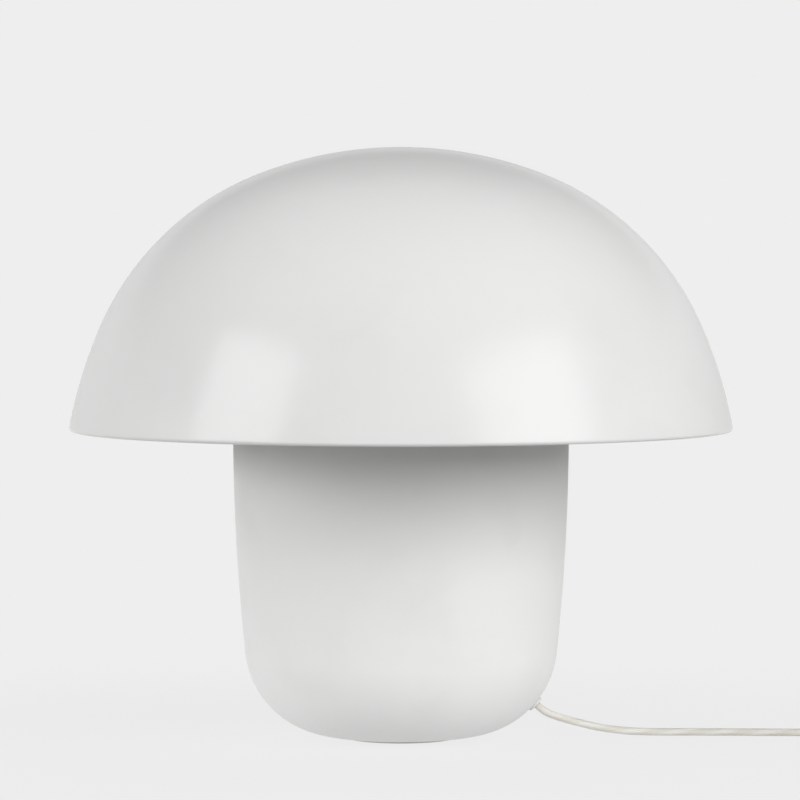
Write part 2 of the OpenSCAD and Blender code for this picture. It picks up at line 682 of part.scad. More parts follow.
module nipple() color([0.8, 0.7, 0.42]) translate([0, 0, hub_z - bar_t - nipple_below]) {
    h = nipple_below + bar_t + nipple_above;
    difference() {
        cylinder(r = nipple_r, h = h, $fn = round_fn);
        translate([0, 0, -1]) cylinder(r = nipple_bore_r, h = h + 2, $fn = round_fn);
    }
}

module nipple_washer() color([0.75, 0.75, 0.76]) translate([0, 0, hub_z - bar_t - 1]) difference() {
    cylinder(r = nipple_nut_w / 2 + 2, h = 1, $fn = round_fn);
    translate([0, 0, -1]) cylinder(r = nipple_r + hole_gap, h = 3, $fn = round_fn);
}

module nipple_nut() color([0.8, 0.7, 0.42]) translate([0, 0, hub_z - bar_t - 1 - nipple_nut_h])
    nut(nipple_nut_w, nipple_nut_h, nipple_r + hole_gap);

module holder_cap() color([0.95, 0.95, 0.94]) translate([0, 0, hub_z]) rotate_extrude($fn = round_fn) {
    block2([nipple_r + hole_gap, 0], [holder_r, holder_wall]);
    block2([nipple_r + hole_gap, 0], [nipple_r + holder_wall, nipple_above - 1]);
    block2([holder_r - holder_wall, 0], [holder_r, cap_h]);
    // Collar that the skirt screws over
    block2([collar_r - holder_wall, cap_h - holder_wall], [holder_r, cap_h]);
    block2([collar_r - holder_wall, cap_h - holder_wall], [collar_r, cap_h + collar_h]);
}

module holder_insert() color([0.9, 0.89, 0.86]) difference() {
    translate([0, 0, insert_z]) cylinder(r = insert_r, h = insert_h, $fn = round_fn);
    for (s = [-1, 1]) translate([s * terminal_x, 0, insert_z - 1])
        cylinder(r = terminal_r + hole_gap, h = insert_h - 1, $fn = small_fn);
    translate([0, 0, insert_z - 1]) cylinder(r = contact_rivet_r + hole_gap, h = far, $fn = small_fn);
}

module holder_skirt() color([0.95, 0.95, 0.94]) rotate_extrude($fn = round_fn) {
    block2([holder_r - holder_wall, holder_cap_top_z], [holder_r, holder_top_z]);
    block2([shell_in_r + shell_t + lift_gap, holder_top_z - holder_wall], [holder_r, holder_top_z]);
    // Shoulder that keeps the insert down
    block2([insert_r + hole_gap, holder_cap_top_z + collar_h + hole_gap],
        [holder_r, holder_cap_top_z + collar_h + holder_wall]);
}

module screw_shell() color([0.85, 0.78, 0.5]) rotate_extrude($fn = round_fn) difference() {
    union() {
        block2([shell_in_r, insert_top_z], [shell_in_r + shell_t, holder_top_z - holder_wall - 1]);
        block2([shell_in_r - 2, insert_top_z], [shell_in_r + shell_t, insert_top_z + shell_t]);
        for (i = [0 : 3])
            translate([shell_in_r, insert_top_z + 6 + i * screw_pitch]) circle(1, $fn = small_fn);
    }
    block2([0, insert_top_z + shell_t], [shell_in_r, far]);
}

module centre_contact() color([0.85, 0.7, 0.4]) {
    translate([0, 0, insert_top_z]) cylinder(r = contact_r, h = contact_t, $fn = small_fn);
    translate([0, 0, insert_z]) cylinder(r = contact_rivet_r, h = insert_h + contact_t, $fn = small_fn);
    translate([0, 0, insert_top_z])
        cylinder(r1 = 0.8 * contact_r, r2 = 0.5 * contact_r, h = contact_h - lift_gap, $fn = small_fn);
}

module terminal_screws() color([0.8, 0.7, 0.42]) for (s = [-1, 1])
    translate([s * terminal_x, 0, insert_z]) mirror([0, 0, 1])
        pan_screw(terminal_r, insert_h - 3, terminal_head_r, terminal_head_h);

module cord_run() color([0.83, 0.83, 0.8]) tube(run_path, cord_r, 8, [0, 0, 1]);
module cord_link() color([0.83, 0.83, 0.8]) tube(link_path, cord_r, 8, [0, 0, 1]);
module cord_coil() color([0.83, 0.83, 0.8]) tube(coil_route, cord_r, 6, [0, 0, 1]);
module cord_tail() color([0.83, 0.83, 0.8]) tube(tail_path, cord_r, 8, [0, 0, 1]);

// Section of the tie round the coil, grown outwards
module tie_outline(grow) {
    low = [tie_in - grow, tie_t - grow];
    high = [tie_out + grow, tie_top_z + grow];
    c = tie_corner + grow;
    block2(low + [c, 0], high - [c, 0]);
    block2(low + [0, c], high - [0, c]);
    for (x = [low[0] + c, high[0] - c])
        for (z = [low[1] + c, high[1] - c]) translate([x, z]) circle(c, $fn = small_fn);
}

module cord_tie() color([0.93, 0.93, 0.93]) translate([coil_c[0], coil_c[1], 0]) rotate(-90) {
    rotate([90, 0, 0]) translate([0, 0, -tie_w / 2]) linear_extrude(tie_w) difference() {
        tie_outline(tie_t);
        tie_outline(0);
    }
    translate([tie_in + 2 * tie_corner, -tie_lock[1] / 2, tie_top_z + tie_t / 2]) cube(tie_lock);
}

// Plan of the switch: straight sides with round ends, drawn in by inset
module switch_plan(inset = 0) {
    r = switch_w / 2 - inset;
    for (y = [switch_y0 + switch_w / 2, switch_y1 - switch_w / 2])
        translate([switch_x, y]) circle(r, $fn = round_fn);
    translate([switch_x - r, switch_y0 + switch_w / 2]) square([2 * r, switch_l - switch_w]);
}

// Bore through the whole switch, which the cord enters at both ends
module switch_cord_hole() translate([switch_x, switch_y0 - 1, switch_cord_z]) rotate([-90, 0, 0])
    cylinder(r = cord_hole_r, h = switch_l + 2, $fn = small_fn);

// Copies at the four screws
module at_posts() for (s = [-1, 1]) for (t = [-1, 1])
    translate([switch_x + t * post_x, switch_mid_y + s * post_y, 0]) children();

// Solid of one half of the switch with chamfered outer edge; top is true for the upper half
module switch_half(top) {
    z0 = top ? split_z : switch_edge;
    z1 = top ? switch_h - switch_edge : split_z;
    translate([0, 0, z0]) linear_extrude(z1 - z0) switch_plan();
    hull() {
        translate([0, 0, top ? z1 - eps : z0]) linear_extrude(eps) switch_plan();
        translate([0, 0, top ? switch_h - eps : 0]) linear_extrude(eps) switch_plan(switch_edge);
    }
}

module switch_lower_shell() color([0.96, 0.96, 0.95]) difference() {
    union() {
        difference() {
            switch_half(false);
            translate([0, 0, switch_wall]) linear_extrude(far) switch_plan(switch_wall);
        }
        at_posts() translate([0, 0, switch_wall - eps])
            cylinder(r = post_r, h = split_z - switch_wall + eps, $fn = small_fn);
    }
    switch_cord_hole();
    at_posts() {
        translate([0, 0, -1]) cylinder(r = switch_screw_r + hole_gap, h = far, $fn = small_fn);
        translate([0, 0, -1]) cylinder(r = switch_head_r + lift_gap, h = switch_head_z + 1, $fn = small_fn);
    }
}

module switch_upper_shell() color([0.96, 0.96, 0.95]) difference() {
    union() {
        difference() {
            switch_half(true);
            translate([0, 0, split_z - 1]) linear_extrude(switch_h - switch_wall - split_z + 1)
                switch_plan(switch_wall);
        }
        at_posts() translate([0, 0, split_z])
            cylinder(r = post_r, h = switch_h - switch_wall - split_z + eps, $fn = small_fn);
        // Ears that carry the rocker's pins
        for (x = [ear_in_x, -ear_out_x])
            translate([switch_x + x, switch_mid_y - ear_w / 2, rocker_z - ear_w / 2])
                cube([ear_t, ear_w, switch_h - switch_wall - rocker_z + ear_w / 2 + eps]);
    }
    switch_cord_hole();
    at_posts() translate([0, 0, split_z - 1])
        cylinder(r = switch_screw_r + hole_gap, h = switch_thread_l + 2, $fn = small_fn);
    translate([switch_x - window_w / 2, switch_mid_y - window_l / 2, rocker_z])
        cube([window_w, window_l, far]);
    translate([switch_x - ear_out_x - eps, switch_mid_y, rocker_z]) rotate([0, 90, 0])
        cylinder(r = pivot_r + pivot_gap, h = 2 * (ear_out_x + eps), $fn = small_fn);
}

module switch_rocker() color([0.97, 0.97, 0.96]) translate([switch_x, switch_mid_y, rocker_z]) {
    rise = far * tan(rocker_angle / 2);
    rotate([90, 0, 90]) translate([0, 0, -rocker_w / 2]) linear_extrude(rocker_w) rotate(-rocker_angle / 2)
        intersection() {
            circle(rocker_r, $fn = round_fn);
            polygon([[-far, -rocker_depth], [far, -rocker_depth], [far, rocker_top + rise], [0, rocker_top],
                [-far, rocker_top + rise]]);
        }
    // Pivot pins
    translate([-pivot_reach, 0, 0]) rotate([0, 90, 0])
        cylinder(r = pivot_r, h = 2 * pivot_reach, $fn = small_fn);
}

// A fixed block with a leaf under each end of the rocker
module switch_contacts() color([0.85, 0.7, 0.4]) translate([switch_x, switch_mid_y, switch_wall])
    for (s = [-1, 1]) {
        translate([-3, s * contact_y - 2, 0]) cube([6, 4, 3.2]);
        translate([-2, s * contact_y - (s > 0 ? 8 : -1), 3]) cube([4, 7, 0.5]);
    }

module switch_screws() color([0.75, 0.75, 0.76]) at_posts() translate([0, 0, switch_head_z])
    mirror([0, 0, 1])
        pan_screw(switch_screw_r, split_z + switch_thread_l - switch_head_z, switch_head_r, switch_head_h);

module plug_relief() color([0.9, 0.9, 0.88]) translate([plug_x, plug_back_y, plug_z]) rotate([-90, 0, 0])
    difference() {
        cylinder(r1 = plug_neck_t / 2 - 0.3, r2 = cord_r + 0.9, h = plug_relief_l, $fn = round_fn);
        translate([0, 0, plug_relief_l - cord_in_relief])
            cylinder(r = cord_hole_r, h = cord_in_relief + 1, $fn = small_fn);
    }

module plug_body() color([0.9, 0.9, 0.88]) difference() {
    hull() {
        plug_slab(plug_back_y - 2, plug_back_y, plug_neck_w, plug_neck_t);
        plug_slab(plug_front_y, plug_back_y - 12, plug_w, plug_t);
    }
    for (s = [-1, 1]) translate([plug_x + s * pin_gap / 2, plug_front_y - 1, plug_z]) rotate([-90, 0, 0])
        cylinder(r = pin_root_r + hole_gap, h = pin_root + 2, $fn = small_fn);
}

// Slice of the plug between two places along Y, with round edges
module plug_slab(y0, y1, w, t) translate([plug_x, y1, plug_z]) rotate([90, 0, 0]) linear_extrude(y1 - y0) {
    r = t / 2;
    for (s = [-1, 1]) translate([s * (w / 2 - r), 0]) circle(r, $fn = small_fn);
    translate([r - w / 2, -r]) square([w - 2 * r, t]);
}

// Each pin: its root in the plug, its straight part and its tapered end
module plug_pins() color([0.8, 0.8, 0.8]) for (s = [-1, 1])
    translate([plug_x + s * pin_gap / 2, plug_front_y, plug_z]) rotate([90, 0, 0]) {
        translate([0, 0, -pin_root]) cylinder(r = pin_root_r, h = pin_root + 1, $fn = small_fn);
        cylinder(r = pin_r, h = pin_l, $fn = small_fn);
        translate([0, 0, pin_l]) cylinder(r1 = pin_r, r2 = pin_r / 2, h = pin_tip, $fn = small_fn);
    }

module shade_dome() color([0.94, 0.94, 0.93]) rotate_extrude($fn = fine) {
    difference() {
        dome_fill(0);
        dome_fill(shade_wall);
    }
    translate(bead_c) circle(bead_r, $fn = round_fn);
}

module bulb_globe() color([0.97, 0.97, 0.96]) rotate_extrude($fn = round_fn) intersection() {
    translate([0, globe_c]) difference() {
        circle(globe_r, $fn = fine);
        circle(globe_r - globe_wall, $fn = fine);
    }
    block2([0, globe_cut_z], [far, far]);
}

module bulb_body() color([0.93, 0.93, 0.92]) rotate_extrude($fn = round_fn) difference() {
    polygon([[0, bulb_body_z], [screw_cap_r + 1, bulb_body_z], [screw_cap_r + 1.5, bulb_body_z + 4],
        [globe_cut_r, globe_cut_z], [0, globe_cut_z]]);
    polygon([[0, bulb_body_z + 2], [screw_cap_r - 0.5, bulb_body_z + 4],
        [globe_cut_r - 3, globe_cut_z - 2], [globe_cut_r - 3, globe_cut_z + 1], [0, globe_cut_z + 1]]);
}

module bulb_board() color([0.85, 0.85, 0.8]) {
    translate([0, 0, globe_cut_z - 2]) cylinder(r = board_r, h = 1.6, $fn = round_fn);
    around([0 : 45 : 315]) translate([12, -1.5, globe_cut_z - 0.6]) cube([3, 3, 0.8]);
}

module bulb_screw_cap() color([0.8, 0.8, 0.8]) rotate_extrude($fn = round_fn) difference() {
    union() {
        block2([0, screw_cap_z], [screw_cap_r - 0.9, screw_cap_z + screw_cap_h + 1]);
        block2([0, screw_cap_z + screw_cap_h - 1.5], [screw_cap_r, screw_cap_z + screw_cap_h + 1]);
        for (i = [0 : 4])
            translate([screw_cap_r - 1, screw_cap_z + 2 + i * screw_pitch]) circle(1, $fn = small_fn);
    }
    block2([0, screw_cap_z + 1], [screw_cap_r - 2.4, far]);
}

module bulb_insulator() color([0.15, 0.15, 0.17]) translate([0, 0, insulator_z])
    cylinder(r1 = 5.5, r2 = screw_cap_r - 2.5, h = insulator_h, $fn = round_fn);

module bulb_tip() color([0.8, 0.8, 0.8]) translate([0, 0, bulb_z])
    cylinder(r1 = 3.4, r2 = 4.8, h = tip_h, $fn = round_fn);

pot_shell();
foot_pad();
ballast_disc();
ballast_screw();
ballast_washer();
ballast_nut();
cord_bush();
bush_nut();
cord_clamp();
clamp_screws();
inner_lead();
lead_cores();
carrier_frame();
carrier_screws();
carrier_nuts();
shade_ring();
ring_rivets();
ring_buffers();
nipple();
nipple_washer();
nipple_nut();
holder_cap();
holder_insert();
holder_skirt();
screw_shell();
centre_contact();
terminal_screws();
cord_run();
cord_link();
cord_coil();
cord_tail();
cord_tie();
switch_lower_shell();
switch_upper_shell();
switch_contacts();
switch_screws();
switch_rocker();
plug_relief();
plug_body();
plug_pins();
shade_dome();
bulb_globe();
bulb_body();
bulb_board();
bulb_screw_cap();
bulb_insulator();
bulb_tip();
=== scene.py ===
"""White mushroom table lamp: a spun metal dome resting on a pot-shaped base, with its mains cord."""
import math

import bmesh
import bpy
from mathutils import Matrix, Vector


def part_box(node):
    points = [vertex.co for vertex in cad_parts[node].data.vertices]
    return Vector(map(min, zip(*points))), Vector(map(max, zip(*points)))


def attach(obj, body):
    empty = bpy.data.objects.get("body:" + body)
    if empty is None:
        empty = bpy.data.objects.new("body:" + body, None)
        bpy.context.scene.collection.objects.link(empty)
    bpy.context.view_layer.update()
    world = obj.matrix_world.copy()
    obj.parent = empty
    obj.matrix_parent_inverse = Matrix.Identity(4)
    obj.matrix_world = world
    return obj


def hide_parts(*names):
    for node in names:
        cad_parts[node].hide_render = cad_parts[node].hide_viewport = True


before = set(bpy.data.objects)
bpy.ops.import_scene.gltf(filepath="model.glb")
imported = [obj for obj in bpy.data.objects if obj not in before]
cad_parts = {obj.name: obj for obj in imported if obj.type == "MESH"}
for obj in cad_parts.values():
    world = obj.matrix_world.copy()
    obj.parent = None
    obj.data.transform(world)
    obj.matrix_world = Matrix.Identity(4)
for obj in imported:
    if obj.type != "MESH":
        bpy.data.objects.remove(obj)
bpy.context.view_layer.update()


# Camera, at the photograph's viewing angle: 3 m in front, looking a little down through a long lens
camera_place = Vector((-0.0006, -3.0, 0.3292))
camera_down = math.radians(2.389)
camera_lens = 224.49

camera = bpy.data.objects.new("camera", bpy.data.cameras.new("camera"))
camera.location = camera_place
camera.rotation_euler = (math.radians(90) - camera_down, 0, 0)
camera.data.sensor_width = 36
camera.data.lens = camera_lens
bpy.context.scene.collection.objects.link(camera)
bpy.context.scene.camera = camera
bpy.context.scene.view_settings.view_transform = "Standard"

# One millimetre, in the metres of the scene
MM = 0.001

# The table and the backdrop as the photograph's pale background
background = "EEEEEE"

# How far red, green and blue light spread in a milky plastic, against each other
milky_spread = (1, 1, 0.9)

# An edge at which a surface turns by more than this is a hard one. A curve's facets turn by less.
hard_angle = math.radians(35)

# The carrier's three arms, in degrees round the lamp's axis
arm_angles = (60, 180, 300)


# Colours and nodes
def linear(code):
    """An sRGB hex colour as linear red, green, blue and alpha."""
    parts = [int(code[i:i + 2], 16) / 255 for i in (0, 2, 4)]
    return [p / 12.92 if p <= 0.04045 else ((p + 0.055) / 1.055) ** 2.4 for p in parts] + [1.0]


def add(tree, kind, settings=None, inputs=None):
    """Adds a node with its settings; an input holds a value, or the node or socket that feeds it."""
    node = tree.nodes.new("ShaderNode" + kind)
    for name, value in (settings or {}).items():
        setattr(node, name, value)
    for name, value in (inputs or {}).items():
        if isinstance(value, bpy.types.Node):
            value = value.outputs[0]
        if isinstance(value, bpy.types.NodeSocket):
            tree.links.new(value, node.inputs[name])
        else:
            node.inputs[name].default_value = value
    return node


def new_finish(name):
    """An empty material, its tree and the socket of places in the piece."""
    made = bpy.data.materials.new(name)
    made.use_nodes = True
    made.node_tree.nodes.clear()
    return made, made.node_tree, add(made.node_tree, "TexCoord").outputs["Object"]


def surface(tree, **inputs):
    """Ends a material with its shader; an input's name has _ for each space."""
    spaced = {name.replace("_", " "): value for name, value in inputs.items()}
    shader = add(tree, "BsdfPrincipled", {}, spaced)
    add(tree, "OutputMaterial", {}, {"Surface": shader})


def powder_coat(name, colours, roughness, haze, peel_depth):
    """Powder coat baked on spun steel. It melts into a fine orange peel of about 1 mm, which breaks up
    reflections a little, and handling leaves faint marks that are greyer and duller by the haze. The
    peel's depth is in millimetres."""
    made, tree, place = new_finish(name)
    peel = add(tree, "TexNoise", {}, {"Vector": place, "Scale": 1 / (1.1 * MM), "Detail": 2.0})
    marks = add(tree, "TexNoise", {}, {"Vector": place, "Scale": 1 / (60 * MM), "Detail": 4.0})
    worn = add(tree, "MapRange", {}, {"Value": marks, "From Min": 0.5, "From Max": 0.75})
    dull = add(tree, "MapRange", {}, {
        "Value": marks, "From Min": 0.5, "From Max": 0.75, "To Min": roughness, "To Max": roughness + haze})
    colour = add(tree, "MixRGB", {}, {
        "Fac": worn, "Color1": linear(colours[0]), "Color2": linear(colours[1])})
    bump = add(tree, "Bump", {}, {"Height": peel, "Distance": peel_depth * MM})
    surface(tree, Base_Color=colour, Roughness=dull, Normal=bump)
    return made


def moulded(name, colours, roughness, grain=0.6, depth=0.01, clear=0.0):
    """Injection moulded plastic or rubber. The steel mould's eroded grain dulls it evenly, flow lines shade
    it by a hair, and a clear one lets some light through. Grain and its depth are in millimetres."""
    made, tree, place = new_finish(name)
    grains = add(tree, "TexNoise", {}, {"Vector": place, "Scale": 1 / (grain * MM), "Detail": 2.0})
    flow = add(tree, "TexNoise", {}, {"Vector": place, "Scale": 1 / (15 * MM), "Detail": 1.0})
    shade = add(tree, "MapRange", {"interpolation_type": "SMOOTHSTEP"}, {
        "Value": flow, "From Min": 0.2, "From Max": 0.8})
    dull = add(tree, "MapRange", {}, {
        "Value": flow, "To Min": roughness - 0.03, "To Max": roughness + 0.05})
    colour = add(tree, "MixRGB", {}, {
        "Fac": shade, "Color1": linear(colours[0]), "Color2": linear(colours[1])})
    bump = add(tree, "Bump", {}, {"Height": grains, "Distance": depth * MM})
    surface(tree, Base_Color=colour, Roughness=dull, Normal=bump, Subsurface_Weight=clear,
            Subsurface_Radius=milky_spread, Subsurface_Scale=2 * MM)
    return made


def plated(name, colours, roughness):
    """Electroplated or drawn metal. Plating leaves patches of slightly different tone a few millimetres
    across, and fine tool marks, drawn 0.3 mm apart so that they show, run under it."""
    made, tree, place = new_finish(name)
    patches = add(tree, "TexNoise", {}, {"Vector": place, "Scale": 1 / (4 * MM), "Detail": 3.0})
    marks = add(tree, "TexNoise", {}, {"Vector": place, "Scale": 1 / (0.3 * MM), "Detail": 1.0})
    shade = add(tree, "MapRange", {}, {"Value": patches, "From Min": 0.35, "From Max": 0.65})
    dull = add(tree, "MapRange", {}, {
        "Value": patches, "From Min": 0.35, "From Max": 0.65,
        "To Min": roughness - 0.05, "To Max": roughness + 0.1})
    colour = add(tree, "MixRGB", {}, {
        "Fac": shade, "Color1": linear(colours[0]), "Color2": linear(colours[1])})
    bump = add(tree, "Bump", {}, {"Height": marks, "Distance": 0.004 * MM})
    surface(tree, Base_Color=colour, Roughness=dull, Normal=bump, Metallic=1.0)
    return made


def cast_iron():
    """Sand-cast grey iron under thin black paint: pitted like sand, with grey on the high grains."""
    made, tree, place = new_finish("painted_cast_iron")
    sand = add(tree, "TexNoise", {}, {"Vector": place, "Scale": 1 / (1.2 * MM), "Detail": 4.0})
    bare = add(tree, "MapRange", {}, {"Value": sand, "From Min": 0.55, "From Max": 0.7})
    colour = add(tree, "MixRGB", {}, {"Fac": bare, "Color1": linear("26272A"), "Color2": linear("4A4B4D")})
    bump = add(tree, "Bump", {}, {"Height": sand, "Distance": 0.4 * MM})
    surface(tree, Base_Color=colour, Roughness=0.7, Normal=bump)
    return made


def clear_vinyl(name, length):
    """Translucent white PVC sheath over two cores twisted once in 54 mm. Where a core lies under the
    surface it shades the sheath, so soft warm-grey bands wind along the cord. The length is that of the
    UV map, in metres."""
    made, tree, place = new_finish(name)
    twist = 54 * MM
    along_round = add(tree, "SeparateXYZ", {}, {0: add(tree, "TexCoord").outputs["UV"]}).outputs
    wound = add(tree, "Math", {"operation": "MULTIPLY"}, {
        0: along_round["X"], 1: 2 * math.pi * length / twist})
    turned_by = add(tree, "Math", {"operation": "MULTIPLY_ADD"}, {
        0: along_round["Y"], 1: 2 * math.pi, 2: wound})
    wave = add(tree, "Math", {"operation": "SINE"}, {0: turned_by})
    cores = add(tree, "Math", {"operation": "ABSOLUTE"}, {0: wave})
    over_core = add(tree, "MapRange", {"interpolation_type": "SMOOTHSTEP"}, {
        "Value": cores, "From Min": 0.3, "From Max": 1.0})
    grains = add(tree, "TexNoise", {}, {"Vector": place, "Scale": 1 / (0.8 * MM)})
    colour = add(tree, "MixRGB", {}, {
        "Fac": over_core, "Color1": linear("E2E0DB"), "Color2": linear("D8D5CD")})
    bump = add(tree, "Bump", {}, {"Height": grains, "Distance": 0.005 * MM})
    surface(tree, Base_Color=colour, Roughness=0.38, Normal=bump, Subsurface_Weight=0.6,
            Subsurface_Radius=milky_spread, Subsurface_Scale=3 * MM)
    return made


# Finishes, each with its tones and its roughness
gloss_coat = powder_coat("gloss_powder_coat", ("F1F1F0", "EEEEED"), 0.19, haze=0.02, peel_depth=0.004)
satin_coat = powder_coat("satin_powder_coat", ("EDEDEC", "E8E8E7"), 0.66, haze=0.06, peel_depth=0.008)
frame_coat = powder_coat("thin_powder_coat", ("EBEBEA", "E2E2E0"), 0.4, haze=0.08, peel_depth=0.012)
iron = cast_iron()
zinc = plated("zinc_plated_steel", ("BFC3C8", "A9ADB0"), 0.32)
nickel = plated("nickel_plated_brass", ("D3CEC2", "C6C0B2"), 0.22)
brass = plated("drawn_brass", ("D8B36A", "C9A155"), 0.3)
pad_rubber = moulded("pale_foam_rubber", ("CCC9C2", "C2BFB7"), 0.9, grain=0.5, depth=0.2)
silicone = moulded("clear_silicone", ("D6DADB", "CBD0D2"), 0.35, clear=0.7)
brown_vinyl = moulded("brown_core_vinyl", ("6E4226", "633A20"), 0.4)
blue_vinyl = moulded("blue_core_vinyl", ("2C62B0", "27589F"), 0.4)
clear_nylon = moulded("clear_nylon", ("DEDEDA", "D4D4CF"), 0.35, clear=0.5)
black_nylon = moulded("black_nylon", ("242526", "2B2C2D"), 0.5)
holder_white = moulded("white_polyester", ("F0F0ED", "ECECE8"), 0.36)
phenolic = moulded("cream_phenolic", ("E3DFD2", "DAD5C6"), 0.5, grain=0.8, depth=0.03)
switch_white = moulded("white_abs", ("F2F2F0", "EEEEEC"), 0.3)
plug_white = moulded("white_plug_vinyl", ("EDEDE9", "E7E7E2"), 0.42, grain=0.5, depth=0.02)
tie_white = moulded("white_nylon", ("EEEEEC", "E8E8E5"), 0.45, clear=0.3)
opal = moulded("opal_polycarbonate", ("F6F6F4", "F2F2EF"), 0.4, clear=0.8)
bulb_white = moulded("white_bulb_plastic", ("EFEFEC", "EAEAE6"), 0.4)
laminate = moulded("white_board_laminate", ("ECECE4", "E2E2D6"), 0.45)
black_glass = moulded("black_glass", ("17171A", "202024"), 0.12, grain=2.0)


# Cord: its route, the same points as in the part's source, in metres
cord_d = 0.0045
cord_r = cord_d / 2

# Where it leaves the base and which way, which is so far from straight up towards +X
exit_place = Vector((0.0818114, 0, 0.0201183))
exit_way = Vector((0.7547096, 0, -0.6560590))
exit_angle = math.radians(131)

# The coil's four layers wind inwards and outwards by turns, and half a turn climbs from each to the next
coil_mid = Vector((0.318, 0.1655, 0.0034))
coil_r = 0.031
coil_pitch = 0.0056
coil_turns = 1.75
climb_turns = 0.5
coil_climbs = 3
coil_in_r = coil_r - coil_turns * coil_pitch
layer_turns = coil_turns + climb_turns
coil_total = coil_climbs * layer_turns + coil_turns
coil_top_z = coil_mid.z + coil_climbs * coil_pitch

out_of_bush = [exit_place + step * exit_way for step in (0, 0.002, 0.004)]
run_route = out_of_bush + [Vector(place) for place in (
    (0.088, 0.0002, 0.0153), (0.0925, 0.0006, 0.0134), (0.098, 0.0012, 0.0116), (0.106, 0.0026, 0.0093),
    (0.118, 0.005, 0.0062), (0.132, 0.008, 0.0038), (0.147, 0.0105, 0.0026), (0.163, 0.012, cord_r),
    (0.182, 0.0122, cord_r), (0.205, 0.0112, cord_r), (0.23, 0.0096, cord_r), (0.251, 0.0094, cord_r),
    (0.267, 0.0125, cord_r), (0.279, 0.021, cord_r), (0.286, 0.033, 0.0034), (0.287, 0.044, 0.0064),
    (0.287, 0.053, 0.0083), (0.287, 0.062, 0.0085))]
link_route = [Vector(place) for place in (
    (0.287, 0.12, 0.0085), (0.287, 0.13, 0.0082), (0.287, 0.138, 0.0061), (0.287, 0.146, 0.0042),
    (0.287, 0.1525, 0.0034), (0.287, 0.157, 0.0034), (0.287, 0.161, 0.0034))]
off_the_coil = [Vector((0.349, 0.161 - step, coil_top_z)) for step in (0, 0.003, 0.006)]
tail_route = off_the_coil + [Vector(place) for place in (
    (0.3488, 0.149, 0.0192), (0.3478, 0.14, 0.0164), (0.3452, 0.131, 0.013), (0.3412, 0.12, 0.0095),
    (0.3374, 0.111, 0.0075), (0.336, 0.106, 0.0069), (0.336, 0.101, 0.0069), (0.336, 0.095, 0.0069))]


def smooth_route(points, steps):
    """A curve through the points, kept on the table where it would dip below it."""
    made = []
    last = len(points) - 1
    for i in range(last):
        a, b, c, d = points[max(i - 1, 0)], points[i], points[i + 1], points[min(i + 2, last)]
        for j in range(steps):
            t = j / steps
            place = 0.5 * (2 * b + (c - a) * t + (2 * a - 5 * b + 4 * c - d) * t ** 2
                           + (3 * b - a - 3 * c + d) * t ** 3)
            place.z = max(place.z, cord_r)
            made.append(place)
    return made + [points[last]]


def coil_point(turn):
    """Place of the coil's middle line after so many turns, spiralling in and out with a climb between. The
    hair makes the very end of a climb the start of the next layer."""
    hair = 0.001
    layer = min(int(turn / layer_turns + hair), coil_climbs)
    along = turn - layer * layer_turns
    step = coil_pitch * min(along, coil_turns)
    radius = coil_r - step if layer % 2 == 0 else coil_in_r + step
    climb = max(along - coil_turns, 0) / climb_turns
    angle = math.pi - 2 * math.pi * turn
    height = coil_pitch * (layer + climb)
    return coil_mid + Vector((radius * math.cos(angle), radius * math.sin(angle), height))


def even(points, gap):
    """The same line with its points evenly spaced."""
    made = [points[0]]
    left = gap
    for a, b in zip(points, points[1:]):
        length = (b - a).length
        while left <= length:
            made.append(a.lerp(b, left / length))
            left += gap
        left -= length
    return made + [points[-1]]


def cord_path():
    """The whole cord's middle line, from the bush through the switch and the coil to the plug."""
    coil_steps = 600
    coil = [coil_point(i * coil_total / coil_steps) for i in range(coil_steps + 1)]
    run = smooth_route(run_route, steps=8)
    link = smooth_route(link_route, steps=8)
    tail = smooth_route(tail_route, steps=8)
    return even(run + link + coil + tail, gap=0.0025)


def round_tube(name, path, radius, rings):
    """A tube along a path as a mesh, with a UV map that runs along it and round it."""
    curve = bpy.data.curves.new(name, "CURVE")
    curve.dimensions = "3D"
    curve.twist_mode = "Z_UP"
    curve.bevel_depth = radius
    curve.bevel_resolution = rings
    curve.use_fill_caps = True
    spline = curve.splines.new("POLY")
    spline.points.add(len(path) - 1)
    for point, place in zip(spline.points, path):
        point.co = (*place, 1)
    stand_in = bpy.data.objects.new(name, curve)
    bpy.context.scene.collection.objects.link(stand_in)
    depsgraph = bpy.context.evaluated_depsgraph_get()
    mesh = bpy.data.meshes.new_from_object(stand_in.evaluated_get(depsgraph))
    bpy.data.objects.remove(stand_in)
    return mesh


path = cord_path()
path_length = sum((b - a).length for a, b in zip(path, path[1:]))
cord_mesh = round_tube("mains_cord", path, cord_r, rings=2)
cord_mesh.name = "mains_cord"
cord_mesh.materials.append(clear_vinyl("clear_vinyl_sheath", path_length))
cord_mesh.shade_smooth()
cord = bpy.data.objects.new("mains_cord", cord_mesh)
bpy.context.scene.collection.objects.link(cord)
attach(cord, "base")
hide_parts("cord_run", "cord_link", "cord_coil", "cord_tail")


# Turned pieces: a profile drawn from one vertex and spun round the lamp's axis
def toward(degrees):
    """Direction in the profile's plane, from straight up and turning towards +X."""
    return Vector((math.sin(math.radians(degrees)), 0, math.cos(math.radians(degrees))))


def line(bm, vert, x, z):
    """Draws the profile straight on to a place and gives its last vertex."""
    end = bmesh.ops.extrude_vert_indiv(bm, verts=[vert])["verts"][0]
    end.co = (x, 0, z)
    return end


def arc(bm, vert, centre, degrees, steps):
    """Draws the profile on round a centre, turning from up towards +X, and gives its last vertex."""
    made = bmesh.ops.spin(bm, geom=[vert], cent=centre, axis=(0, 1, 0), angle=math.radians(degrees),
                          steps=steps)
    return made["geom_last"][0]


